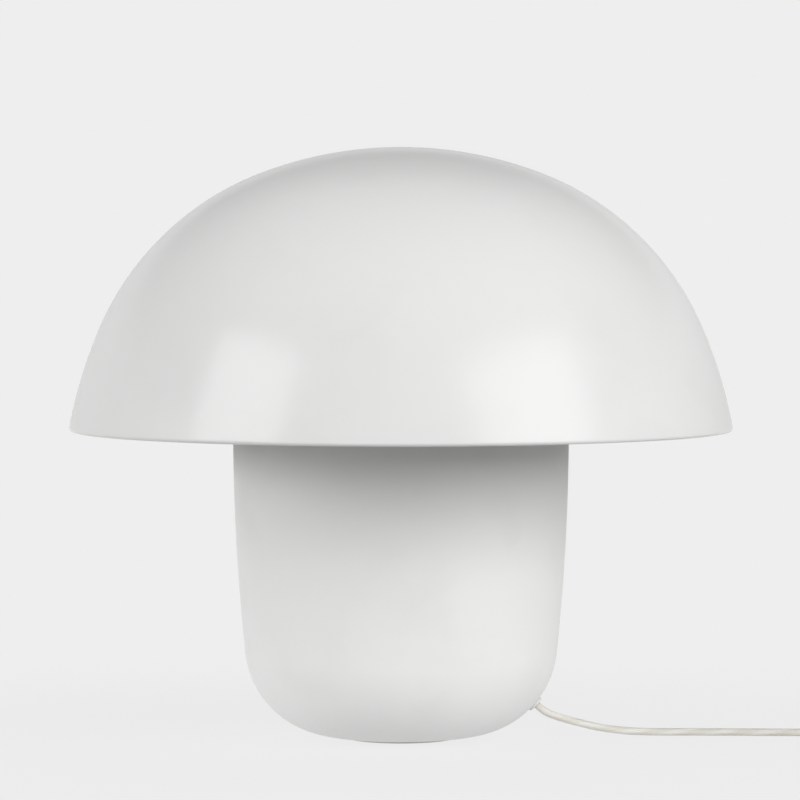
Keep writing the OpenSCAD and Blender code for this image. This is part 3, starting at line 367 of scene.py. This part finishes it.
def spin_round(bm, steps):
    """Spins the whole profile once round the axis."""
    bmesh.ops.spin(bm, geom=bm.verts[:] + bm.edges[:], cent=(0, 0, 0), axis=(0, 0, 1), angle=2 * math.pi,
                   steps=steps, use_merge=True)


def round_off(bm, geom, width, affect, segments):
    """Rounds corners of a profile, or edges of a solid, by a width in millimetres."""
    bmesh.ops.bevel(bm, geom=geom, offset=width * MM, affect=affect, segments=segments, profile=0.5,
                    material=-1, clamp_overlap=True)


def draw(bm, points):
    """Draws a profile in millimetres, closed unless it starts on the axis, and gives its vertices."""
    verts = [bm.verts.new((points[0][0] * MM, 0, points[0][1] * MM))]
    for x, z in points[1:]:
        verts.append(line(bm, verts[-1], x * MM, z * MM))
    if points[0][0] > 0:
        bm.edges.new((verts[-1], verts[0]))
    return verts


def hard_edges(bm):
    """Edges at which the surface turns by more than a curve's facets do."""
    return [edge for edge in bm.edges if edge.is_manifold and edge.calc_face_angle() > hard_angle]


def verts_in(made):
    """The vertices among what an operator made."""
    return [item for item in made["geom"] if isinstance(item, bmesh.types.BMVert)]


def set_at(bm, places):
    """Puts the whole shape at each place."""
    shape = bm.verts[:] + bm.edges[:] + bm.faces[:]
    moved = [(bm.verts[:], places[0])]
    for place in places[1:]:
        moved.append((verts_in(bmesh.ops.duplicate(bm, geom=shape)), place))
    for verts, place in moved:
        bmesh.ops.transform(bm, matrix=place, verts=verts)


def piece(name, bm, material, body, slot, *nodes):
    """Makes the mesh a smooth piece that rides on a body and stands for its CAD nodes."""
    bmesh.ops.remove_doubles(bm, verts=bm.verts, dist=0.01 * MM)
    bmesh.ops.recalc_face_normals(bm, faces=bm.faces)
    for face in bm.faces:
        face.smooth = True
    mesh = bpy.data.meshes.new(name)
    bm.to_mesh(mesh)
    bm.free()
    mesh.set_sharp_from_angle(angle=hard_angle)
    mesh.materials.append(material)
    obj = bpy.data.objects.new(name, mesh)
    bpy.context.scene.collection.objects.link(obj)
    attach(obj, body)
    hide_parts(*nodes)
    return obj


def turned(name, points, material, body, slot, node, rounding=0.2, steps=64, places=None):
    """A piece turned on a lathe or moulded round. Its profile, in millimetres, stands on the node's
    underside unless places are given, and its corners are rounded by a width in millimetres."""
    bm = bmesh.new()
    corners = draw(bm, points)
    inner_corners = [vert for vert in corners if len(vert.link_edges) == 2]
    round_off(bm, inner_corners, rounding, "VERTICES", segments=3)
    spin_round(bm, steps)
    set_at(bm, places or [Matrix.Translation((0, 0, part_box(node)[0].z))])
    piece(name, bm, material, body, slot, node)


def softened(node, material, slot, width, body="base"):
    """The node's own shape with its edges rounded by a width in millimetres, as the mould, the die or the
    tumbling barrel leaves them."""
    bm = bmesh.new()
    bm.from_mesh(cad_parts[node].data)
    bmesh.ops.remove_doubles(bm, verts=bm.verts, dist=0.005 * MM)
    bmesh.ops.dissolve_limit(bm, angle_limit=math.radians(0.5), verts=bm.verts, edges=bm.edges)
    round_off(bm, hard_edges(bm), width, "EDGES", segments=2)
    made = piece("rounded_" + node, bm, material, body, slot, node)
    made.modifiers.new("flat_faces_lead", "WEIGHTED_NORMAL").keep_sharp = True


def make_shade():
    """Dome shade spun from one sheet: crown, shoulder, side, a rim rolled inwards, and the inner face."""
    low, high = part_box("shade_dome")
    crown_r, shoulder_r, side_r = 0.236, 0.1725, 0.2948
    crown_angle, shoulder_angle = 21, 67
    crown_steps, shoulder_steps, side_steps, bead_steps, round_steps = 14, 30, 12, 22, 288
    wall, bead_r = 0.0012, 0.0019
    crown = Vector((0, 0, high.z - crown_r))
    shoulder = crown + (crown_r - shoulder_r) * toward(crown_angle)
    side = shoulder - (side_r - shoulder_r) * toward(shoulder_angle)
    rim_angle = math.degrees(math.acos((low.z + bead_r - side.z) / (side_r - bead_r)))
    bead = side + (side_r - bead_r) * toward(rim_angle)
    roll = 360 - math.degrees(math.acos((bead_r - wall) / bead_r))
    meet = bead + bead_r * toward(rim_angle + roll) - side
    meet_angle = math.degrees(math.atan2(meet.x, meet.z))
    bm = bmesh.new()
    end = bm.verts.new((0, 0, high.z))
    end = arc(bm, end, crown, crown_angle, crown_steps)
    end = arc(bm, end, shoulder, shoulder_angle - crown_angle, shoulder_steps)
    end = arc(bm, end, side, rim_angle - shoulder_angle, side_steps)
    end = arc(bm, end, bead, roll, bead_steps)
    end = arc(bm, end, side, shoulder_angle - meet_angle, side_steps)
    end = arc(bm, end, shoulder, crown_angle - shoulder_angle, shoulder_steps)
    arc(bm, end, crown, -crown_angle, crown_steps)
    spin_round(bm, round_steps)
    piece("dome_shade", bm, gloss_coat, "shade", "shade_enamel", "shade_dome")


def make_pot():
    """Pot of the base: recess, flat foot, round corner, long flank, beaded mouth, and the inner face."""
    high_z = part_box("pot_shell")[1].z
    foot_z, foot_r, belly_r, corner_r, flank_r = 0.0015, 0.034, 0.075, 0.0555, 1.3
    belly_angle, corner_angle = 14, 84
    belly_steps, corner_steps, flank_steps, bead_steps, round_steps = 6, 28, 14, 18, 256
    wall, bead_r = 0.0015, 0.0016
    recess_r, recess_z, hole_r = 0.012, 0.007, 0.00315
    belly = Vector((foot_r, 0, foot_z + belly_r))
    corner = belly + (belly_r - corner_r) * toward(180 - belly_angle)
    flank = corner - (flank_r - corner_r) * toward(180 - corner_angle)
    mouth = Vector((flank.x + flank_r - wall + bead_r, 0, high_z - bead_r))
    bead_start = math.degrees(math.asin((bead_r - wall) / bead_r))
    bm = bmesh.new()
    start = bm.verts.new((hole_r, 0, recess_z))
    end = line(bm, start, recess_r, recess_z)
    end = line(bm, end, recess_r, foot_z)
    end = line(bm, end, foot_r, foot_z)
    end = arc(bm, end, belly, -belly_angle, belly_steps)
    end = arc(bm, end, corner, belly_angle - corner_angle, corner_steps)
    end = arc(bm, end, flank, corner_angle - 90, flank_steps)
    end = line(bm, end, flank.x + flank_r, mouth.z - bead_r * math.cos(math.radians(bead_start)))
    end = arc(bm, end, mouth, -270 - bead_start, bead_steps)
    end = line(bm, end, flank.x + flank_r - wall, flank.z)
    end = arc(bm, end, flank, 90 - corner_angle, flank_steps)
    end = arc(bm, end, corner, corner_angle - belly_angle, corner_steps)
    end = arc(bm, end, belly, belly_angle, belly_steps)
    end = line(bm, end, recess_r + wall, foot_z + wall)
    end = line(bm, end, recess_r + wall, recess_z + wall)
    end = line(bm, end, hole_r, recess_z + wall)
    bm.edges.new((end, start))
    spin_round(bm, round_steps)
    piece("base_pot", bm, satin_coat, "base", "base_enamel", "pot_shell")


def make_carrier():
    """Carrier of flat steel, drawn in millimetres: a hub plate and three arms, each bent up the pot's wall
    and in under the ring."""
    low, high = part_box("carrier_frame")
    thick, width, ring_in_r, arm_in_r, hub_r, hole_r = 2.5, 14, 72, 20, 24, 5.15
    reach, top = -low.x / MM, (high.z - low.z) / MM
    bm = bmesh.new()
    corners = draw(bm, [
        (arm_in_r, 0), (reach, 0), (reach, top), (ring_in_r, top), (ring_in_r, top - thick),
        (reach - thick, top - thick), (reach - thick, thick), (arm_in_r, thick)])
    round_off(bm, corners[1:3], 2 * thick, "VERTICES", segments=5)
    round_off(bm, corners[5:7], thick, "VERTICES", segments=5)
    side = bmesh.ops.contextual_create(bm, geom=bm.edges[:])["faces"]
    other_side = verts_in(bmesh.ops.extrude_face_region(bm, geom=side))
    bmesh.ops.translate(bm, vec=(0, width * MM, 0), verts=other_side)
    round_off(bm, hard_edges(bm), 0.5, "EDGES", segments=2)
    centred = Matrix.Translation((0, -width * MM / 2, low.z))
    set_at(bm, [Matrix.Rotation(math.radians(angle), 4, "Z") @ centred for angle in arm_angles])
    hub = bmesh.new()
    corners = draw(hub, [(hole_r, 0), (hub_r, 0), (hub_r, thick), (hole_r, thick)])
    round_off(hub, corners, 0.5, "VERTICES", segments=3)
    spin_round(hub, steps=96)
    set_at(hub, [Matrix.Translation((0, 0, low.z))])
    part = bpy.data.meshes.new("hub")
    hub.to_mesh(part)
    hub.free()
    bm.from_mesh(part)
    bpy.data.meshes.remove(part)
    piece("carrier_arms", bm, frame_coat, "base", "frame_enamel", "carrier_frame")


def make_globe():
    """Frosted globe of the bulb, open where it sits in the bulb's body."""
    low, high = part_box("bulb_globe")
    globe_r, wall, steps = 30 * MM, 1.5 * MM, 40
    centre = Vector((0, 0, high.z - globe_r))
    outer = 180 - math.degrees(math.acos((centre.z - low.z) / globe_r))
    inner = 180 - math.degrees(math.acos((centre.z - low.z) / (globe_r - wall)))
    bm = bmesh.new()
    end = bm.verts.new((0, 0, high.z))
    end = arc(bm, end, centre, outer, steps)
    place = centre + (globe_r - wall) * toward(inner)
    end = line(bm, end, place.x, place.z)
    arc(bm, end, centre, -inner, steps)
    spin_round(bm, steps=96)
    piece("frosted_globe", bm, opal, "bulb", "bulb_glass", "bulb_globe")


def make_plug():
    """Flat two-pin plug: a rounded front, grooves to grip it by, and shoulders drawn in to the neck. Each
    station is a place along it in millimetres, with its width and thickness there as shares of the full
    ones."""
    low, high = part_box("plug_body")
    width, thick = high.x - low.x, high.z - low.z
    neck_w, neck_t = 14 * MM / width, 11 * MM / thick
    front, back = low.y / MM, high.y / MM
    stations = [(front, 0.93, 0.86), (front + 0.4, 0.975, 0.94), (front + 1.4, 1, 1)]
    for groove in range(5):
        start = front + 8 + 3.2 * groove
        stations += [
            (start, 1, 1), (start + 0.5, 0.975, 0.93), (start + 1.5, 0.975, 0.93), (start + 2, 1, 1)]
    shoulder = back - 12
    stations.append((shoulder, 1, 1))
    for step in range(1, 6):
        share = step / 6
        stations.append((shoulder + 10 * share, 1 + (neck_w - 1) * share, 1 + (neck_t - 1) * share))
    stations += [
        (back - 2, neck_w, neck_t), (back - 0.5, neck_w, neck_t), (back, 0.9 * neck_w, 0.9 * neck_t)]

    # A circle stood upright and turned by half a facet, so that no corner is on its middle line, is drawn
    # apart to a flat oval
    bm = bmesh.new()
    facets = 64
    half_facet = Matrix.Rotation(math.radians(180 / facets), 4, "Z")
    upright = Matrix.Rotation(math.radians(90), 4, "X")
    bmesh.ops.create_circle(bm, segments=facets, radius=thick / 2, cap_ends=True,
                            matrix=upright @ half_facet)
    for vert in bm.verts:
        vert.co.x += math.copysign((width - thick) / 2, vert.co.x)
    flat = [vert.co.copy() for vert in bm.verts]

    # The oval is the first station, and each later one is drawn out of the last
    middle = Vector(((low.x + high.x) / 2, 0, (low.z + high.z) / 2))
    ring = bm.verts[:]
    edges = bm.edges[:]
    for number, (y, wide, tall) in enumerate(stations):
        if number:
            made = bmesh.ops.extrude_edge_only(bm, edges=edges)
            ring = verts_in(made)
            edges = [item for item in made["geom"] if isinstance(item, bmesh.types.BMEdge)]
        for vert, place in zip(ring, flat):
            vert.co = middle + Vector((place.x * wide, y * MM, place.z * tall))
    bmesh.ops.contextual_create(bm, geom=edges)
    piece("plug_moulding", bm, plug_white, "base", "plug_plastic", "plug_body")


def eased(points, gap, passes):
    """A polyline with even steps and its corners rounded by averaging neighbours."""
    made = even([Vector(point) for point in points], gap)
    for _ in range(passes):
        between = [(a + 2 * b + c) / 4 for a, b, c in zip(made, made[1:], made[2:])]
        made = [made[0]] + between + [made[-1]]
    return made


def held_lead(name, points, radius, material, node, turn=0):
    """A lead or core that the lamp holds all the way, along its route in millimetres of X and Z, turned by
    so many degrees round the lamp's axis."""
    places = eased([(x * MM, 0, z * MM) for x, z in points], gap=1.5 * MM, passes=4)
    mesh = round_tube(name, places, radius, rings=2)
    mesh.transform(Matrix.Rotation(math.radians(turn), 4, "Z"))
    mesh.materials.append(material)
    mesh.shade_smooth()
    obj = bpy.data.objects.new(name, mesh)
    bpy.context.scene.collection.objects.link(obj)
    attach(obj, "base")
    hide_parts(node)


make_shade()
make_pot()
make_carrier()
make_globe()
make_plug()

# Foot pad
turned("foam_pad", [(12, 0), (32, 0), (32, 1.5), (12, 1.5)],
       pad_rubber, "base", "pad_rubber", "foot_pad", rounding=0.3, steps=128)

# Bush, whose flange stands 1.6 mm out of the pot and whose tapered relief reaches 25 mm in
bush_place = (Matrix.Translation(exit_place - 1.6 * MM * exit_way)
              @ Matrix.Rotation(exit_angle, 4, "Y"))
turned("bush_moulding", [
    (2.4, 1.6), (4.6, 1.6), (5.2, 1), (5.2, 0), (4, 0),
    *[(4 if step % 2 else 3.6, -0.5 * step - 1) for step in range(16)],
    (3.7, -9), *[(3.6 - 0.04 * step - (0.5 if step % 2 else 0), -9.6 - step) for step in range(15)],
    (3, -25), (2.4, -25)],
       clear_nylon, "base", "bush_plastic", "cord_bush", rounding=0.15, places=[bush_place])

# Lead inside the lamp, from the bush through the clamp up to the holder, and its two cores
bush_tail = exit_place - 26.6 * MM * exit_way
lead_route = [
    (exit_place.x / MM, exit_place.z / MM), (bush_tail.x / MM, bush_tail.z / MM), (59, 39.6), (56, 40.6),
    (53, 40), (50.2, 37.8), (48, 34.6), (46.2, 30.8), (44.4, 27), (42.4, 24.2), (40.4, 22.4), (31.6, 22.4),
    (29.4, 24.2), (27.6, 27), (25, 32), (21.5, 40), (17, 52), (12, 68), (7, 88), (3, 106), (0.6, 122),
    (0, 134), (0, 160)]
core_route = [
    (1.1, 160), (1.1, 161.2), (1.7, 163), (3.2, 165.2), (5.2, 167.2), (7.4, 169.2), (9, 169.9),
    (10.5, 170.1)]
core_r = 1 * MM
held_lead("inner_lead_sheath", lead_route, cord_r, clear_vinyl("clear_vinyl_inside", length=0.2),
          "inner_lead")
held_lead("brown_core", core_route, core_r, brown_vinyl, "lead_cores")
held_lead("blue_core", core_route, core_r, blue_vinyl, "lead_cores", turn=180)

# Ring that carries the shade
turned("carrier_ring", [(72, 0), (84, 0), (84, 2), (72, 2)],
       frame_coat, "base", "frame_enamel", "shade_ring", rounding=0.4, steps=192)
first_rivet = Matrix.Translation((78 * MM, 0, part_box("ring_rivets")[0].z))
rivet_places = [Matrix.Rotation(math.radians(angle), 4, "Z") @ first_rivet for angle in arm_angles]
turned("rivets", [
    (0, 0), (1.92, 0), (3.2, 1.2), (1.6, 1.2), (1.6, 5.7), (3.2, 5.7), (1.92, 6.9), (0, 6.9)],
       zinc, "base", "zinc_steel", "ring_rivets", rounding=0.3, steps=32, places=rivet_places)

# Lamp holder. A thread's turns are rings a pitch apart: 1 mm on the nipple, 3.6 mm on the bulb's shell.
thread = [(5 if step % 2 else 4.6, 0.5 * step) for step in range(1, 41)]
turned("threaded_nipple", [(3.7, 0), (4.6, 0), *thread, (4.6, 20.5), (3.7, 20.5)],
       brass, "base", "brass", "nipple", rounding=0.1)
turned("holder_dome", [
    (5.15, 0), (17.5, 0), (19, 0.6), (20, 2.5), (20, 22), (18.05, 22), (18.05, 27), (16.25, 27),
    (16.25, 20.2), (18.2, 20.2), (18.2, 1.8), (6.8, 1.8), (6.8, 8), (5.15, 8)],
       holder_white, "base", "holder_plastic", "holder_cap", rounding=0.4, steps=96)
turned("holder_sleeve", [
    (18.2, 0), (20, 0), (20, 36), (19, 38), (14.25, 38), (14.25, 36.2), (18.2, 36.2), (18.2, 6.8),
    (16.25, 6.8), (16.25, 5.15), (18.2, 5.15)],
       holder_white, "base", "holder_plastic", "holder_skirt", rounding=0.3, steps=96)
shell_turns = [(radius, 6 + 3.6 * turn + rise) for turn in range(4)
               for radius, rise in ((13.95, -1.2), (14.35, -0.4), (14.35, 0.4), (13.95, 1.2))]
inner_turns = [(radius - 0.5, height) for radius, height in reversed(shell_turns)]
turned("contact_shell", [
    (11.45, 0), (13.95, 0), *shell_turns, (13.95, 26.2), (13.45, 26.2), *inner_turns, (13.45, 0.5),
    (11.45, 0.5)],
       brass, "base", "brass", "screw_shell", rounding=0.15, steps=96)

# Bulb
turned("solder_tip", [(0, 0), (2.2, 0), (3.4, 0.4), (4.4, 1.6), (4.8, 2.5), (0, 2.5)],
       nickel, "bulb", "nickel", "bulb_tip", rounding=0.3)
turned("glass_insulator", [(0, 0), (5.5, 0), (10.65, 3.5), (0, 3.5)],
       black_glass, "bulb", "cap_insulator", "bulb_insulator")
cap_turns = [(radius, 2 + 3.6 * turn + rise) for turn in range(5)
             for radius, rise in ((12.25, -1.3), (12.95, -0.6), (13.15, 0), (12.95, 0.6), (12.25, 1.3))]
turned("screw_cap", [
    (10.75, 0), (12, 0), *cap_turns, (12.4, 18.6), (13.15, 19.4), (13.15, 21.5), (10.75, 21.5)],
       nickel, "bulb", "nickel", "bulb_screw_cap", rounding=0.15, steps=96)
turned("bulb_housing", [
    (0, 0), (14.15, 0), (14.65, 4), (21.9, 30), (18.9, 30), (18.9, 28), (12.65, 4), (0, 2)],
       bulb_white, "bulb", "bulb_plastic", "bulb_body", rounding=0.5, steps=96)

# Plug
pins_low, pins_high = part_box("plug_pins")
pin_r, pin_out = 2 * MM, 19 * MM
pin_y, pin_z = pins_low.y + pin_out, (pins_low.z + pins_high.z) / 2
pins_forward = Matrix.Rotation(math.radians(90), 4, "X")
pin_places = [Matrix.Translation((x, pin_y, pin_z)) @ pins_forward
              for x in (pins_low.x + pin_r, pins_high.x - pin_r)]
turned("plug_pin_metal", [(0, -11), (1.5, -11), (1.5, 10), (2, 10), (2, 18), (1, 19), (0, 19)],
       nickel, "base", "nickel", "plug_pins", rounding=0.25, steps=32, places=pin_places)
turned("plug_pin_sleeves", [(1.5, 0), (1.95, 0), (1.95, 10), (1.5, 10)],
       plug_white, "base", "plug_plastic", "plug_pins", rounding=0.1, steps=32, places=pin_places)
relief_low, relief_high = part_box("plug_relief")
relief_x, relief_z = (relief_low.x + relief_high.x) / 2, (relief_low.z + relief_high.z) / 2
relief_place = (Matrix.Translation((relief_x, relief_low.y, relief_z))
                @ Matrix.Rotation(math.radians(-90), 4, "X"))

# The relief tapers over its 24 mm, and a dip of 0.8 mm goes round it every 3.6 mm
dip_shape = ((1.5, 0), (2, 0.8), (3.2, 0.8), (3.7, 0))
dips = [(height + 3.6 * step, dip) for step in range(6) for height, dip in dip_shape]
ribs = [(5.2 - 2.05 * height / 24 - dip, height) for height, dip in dips]
turned("plug_relief_ribs", [(2.2, 0), (5.2, 0), *ribs, (3.15, 24), (2.4, 24), (2.3, 18)],
       plug_white, "base", "plug_plastic", "plug_relief", rounding=0.15, places=[relief_place])

# Pieces whose own shape is right, with their edges rounded by so many millimetres
for node, material, slot, width in (
        ("ballast_disc", iron, "ballast_iron", 1.0),
        ("ballast_screw", zinc, "zinc_steel", 0.25),
        ("ballast_washer", zinc, "zinc_steel", 0.2),
        ("ballast_nut", zinc, "zinc_steel", 0.3),
        ("bush_nut", clear_nylon, "bush_plastic", 0.3),
        ("cord_clamp", black_nylon, "clamp_plastic", 0.3),
        ("clamp_screws", zinc, "zinc_steel", 0.15),
        ("carrier_screws", zinc, "zinc_steel", 0.15),
        ("carrier_nuts", zinc, "zinc_steel", 0.25),
        ("ring_buffers", silicone, "buffer_rubber", 0.4),
        ("nipple_washer", zinc, "zinc_steel", 0.2),
        ("nipple_nut", brass, "brass", 0.3),
        ("holder_insert", phenolic, "insert_phenolic", 0.4),
        ("centre_contact", brass, "brass", 0.15),
        ("terminal_screws", brass, "brass", 0.15),
        ("switch_lower_shell", switch_white, "switch_plastic", 0.35),
        ("switch_upper_shell", switch_white, "switch_plastic", 0.35),
        ("switch_contacts", brass, "brass", 0.1),
        ("switch_screws", zinc, "zinc_steel", 0.1),
        ("cord_tie", tie_white, "tie_plastic", 0.25)):
    softened(node, material, slot, width)
softened("switch_rocker", switch_white, "switch_plastic", 0.3, "rocker")
softened("bulb_board", laminate, "board_laminate", 0.1, "bulb")


# Floor, backdrop and light
def make_floor():
    """A wide table top that looks like the backdrop, keeps a faint shadow of the lamp and isn't seen from
    below. It lights the lamp like a white table lit for a metre and a half across."""
    mesh = bpy.data.meshes.new("floor")
    bm = bmesh.new()
    bmesh.ops.create_grid(bm, x_segments=1, y_segments=1, size=8)
    bm.to_mesh(mesh)
    bm.free()
    floor = bpy.data.objects.new("floor", mesh)
    bpy.context.scene.collection.objects.link(floor)
    made = bpy.data.materials.new("pale_table")
    made.use_nodes = True
    tree = made.node_tree
    tree.nodes.clear()
    rays = add(tree, "LightPath").outputs
    seen = add(tree, "Math", {"operation": "MAXIMUM"}, {
        0: rays["Is Camera Ray"], 1: rays["Is Glossy Ray"]})
    seen = add(tree, "Math", {"operation": "MAXIMUM"}, {0: seen, 1: rays["Is Transmission Ray"]})
    place = add(tree, "TexCoord").outputs["Object"]
    reach = add(tree, "VectorMath", {"operation": "LENGTH"}, {0: place}).outputs["Value"]
    near = add(tree, "MapRange", {"interpolation_type": "SMOOTHSTEP"}, {
        "Value": reach, "From Min": 0.12, "From Max": 0.6, "To Min": 0.1, "To Max": 0.0})
    lit = add(tree, "MapRange", {"interpolation_type": "SMOOTHSTEP"}, {
        "Value": reach, "From Min": 0.05, "From Max": 0.75, "To Min": 0.66, "To Max": 0.0})
    matt = add(tree, "BsdfDiffuse", {}, {"Color": linear(background)})
    pale = add(tree, "Emission", {}, {"Color": linear(background)})
    shadowed = add(tree, "MixShader", {}, {0: near, 1: pale, 2: matt})
    glow = add(tree, "Emission", {}, {"Strength": lit})
    mixed = add(tree, "MixShader", {}, {0: seen, 1: glow, 2: shadowed})
    below = add(tree, "NewGeometry").outputs["Backfacing"]
    one_sided = add(tree, "MixShader", {}, {0: below, 1: mixed, 2: add(tree, "BsdfTransparent")})
    add(tree, "OutputMaterial", {}, {"Surface": one_sided})
    mesh.materials.append(made)


def make_world():
    """Pale backdrop for what is seen, and a weak even light. What is mirrored is a bright paper up to
    some height, a darker gap above it, which darkens the shade just inside its outline, and then the
    ceiling."""
    world = bpy.data.worlds.new("studio")
    bpy.context.scene.world = world
    world.use_nodes = True
    tree = world.node_tree
    tree.nodes.clear()
    rays = add(tree, "LightPath").outputs
    seen = add(tree, "Math", {"operation": "MAXIMUM"}, {
        0: rays["Is Camera Ray"], 1: rays["Is Transmission Ray"]})
    way = add(tree, "TexCoord").outputs["Generated"]
    height = add(tree, "SeparateXYZ", {}, {0: way}).outputs["Z"]
    paper = add(tree, "MapRange", {"interpolation_type": "SMOOTHSTEP"}, {
        "Value": height, "From Min": 0.25, "From Max": 0.42, "To Min": 0.85, "To Max": 0.42})
    ceiling = add(tree, "MapRange", {"interpolation_type": "SMOOTHSTEP"}, {
        "Value": height, "From Min": 0.62, "From Max": 0.85, "To Min": 0.0, "To Max": 0.25})
    both = add(tree, "Math", {"operation": "ADD"}, {0: paper, 1: ceiling})
    mirrored = add(tree, "Background", {}, {"Strength": both})
    even_light = add(tree, "Background", {}, {"Strength": 0.26})
    pale = add(tree, "Background", {}, {"Color": linear(background)})
    first = add(tree, "MixShader", {}, {0: rays["Is Glossy Ray"], 1: even_light, 2: mirrored})
    second = add(tree, "MixShader", {}, {0: seen, 1: first, 2: pale})
    add(tree, "OutputWorld", {}, {"Surface": second})


def softbox(name, azimuth, elevation, wide, tall, radiance, mirrored=False):
    """A soft light so many degrees wide and tall, which either lights the lamp or is only mirrored in its
    gloss. It is aimed at the lamp's middle, and azimuth is from the camera's side to +X. A mirrored one
    hangs nearer, so that no other light hides it. Its power is pi times its area and its radiance."""
    aim = Vector((0, 0, 0.2))
    distance = 2.9 if mirrored else 3.0
    a, e = math.radians(azimuth), math.radians(elevation)
    back = Vector((math.sin(a) * math.cos(e), -math.cos(a) * math.cos(e), math.sin(e)))
    data = bpy.data.lights.new(name, "AREA")
    data.shape = "RECTANGLE"
    data.size = 2 * distance * math.tan(math.radians(wide / 2))
    data.size_y = 2 * distance * math.tan(math.radians(tall / 2))
    data.energy = radiance * math.pi * data.size * data.size_y
    light = bpy.data.objects.new(name, data)
    light.location = aim + distance * back
    light.rotation_mode = "QUATERNION"
    light.rotation_quaternion = back.to_track_quat("Z", "Y")
    light.visible_camera = False
    light.visible_glossy = mirrored
    light.visible_diffuse = not mirrored
    bpy.context.scene.collection.objects.link(light)


make_floor()
make_world()

# Lights: azimuth, elevation, width and height in degrees, then radiance
softbox("right_light", 47, 22, 40, 32, 4.2)
softbox("front_light", 0, 21, 45, 32, 1.8)
softbox("left_light", -58, 22, 32, 30, 1.4)
softbox("left_side_light", -90, 8, 45, 16, 5.2)
softbox("right_side_light", 90, 8, 45, 16, 1.0)
softbox("back_light", 180, 14, 90, 16, 3.4)
softbox("right_shine", 47, 22, 40, 32, 1.4, mirrored=True)
softbox("left_shine", -58, 22, 32, 30, 2.4, mirrored=True)
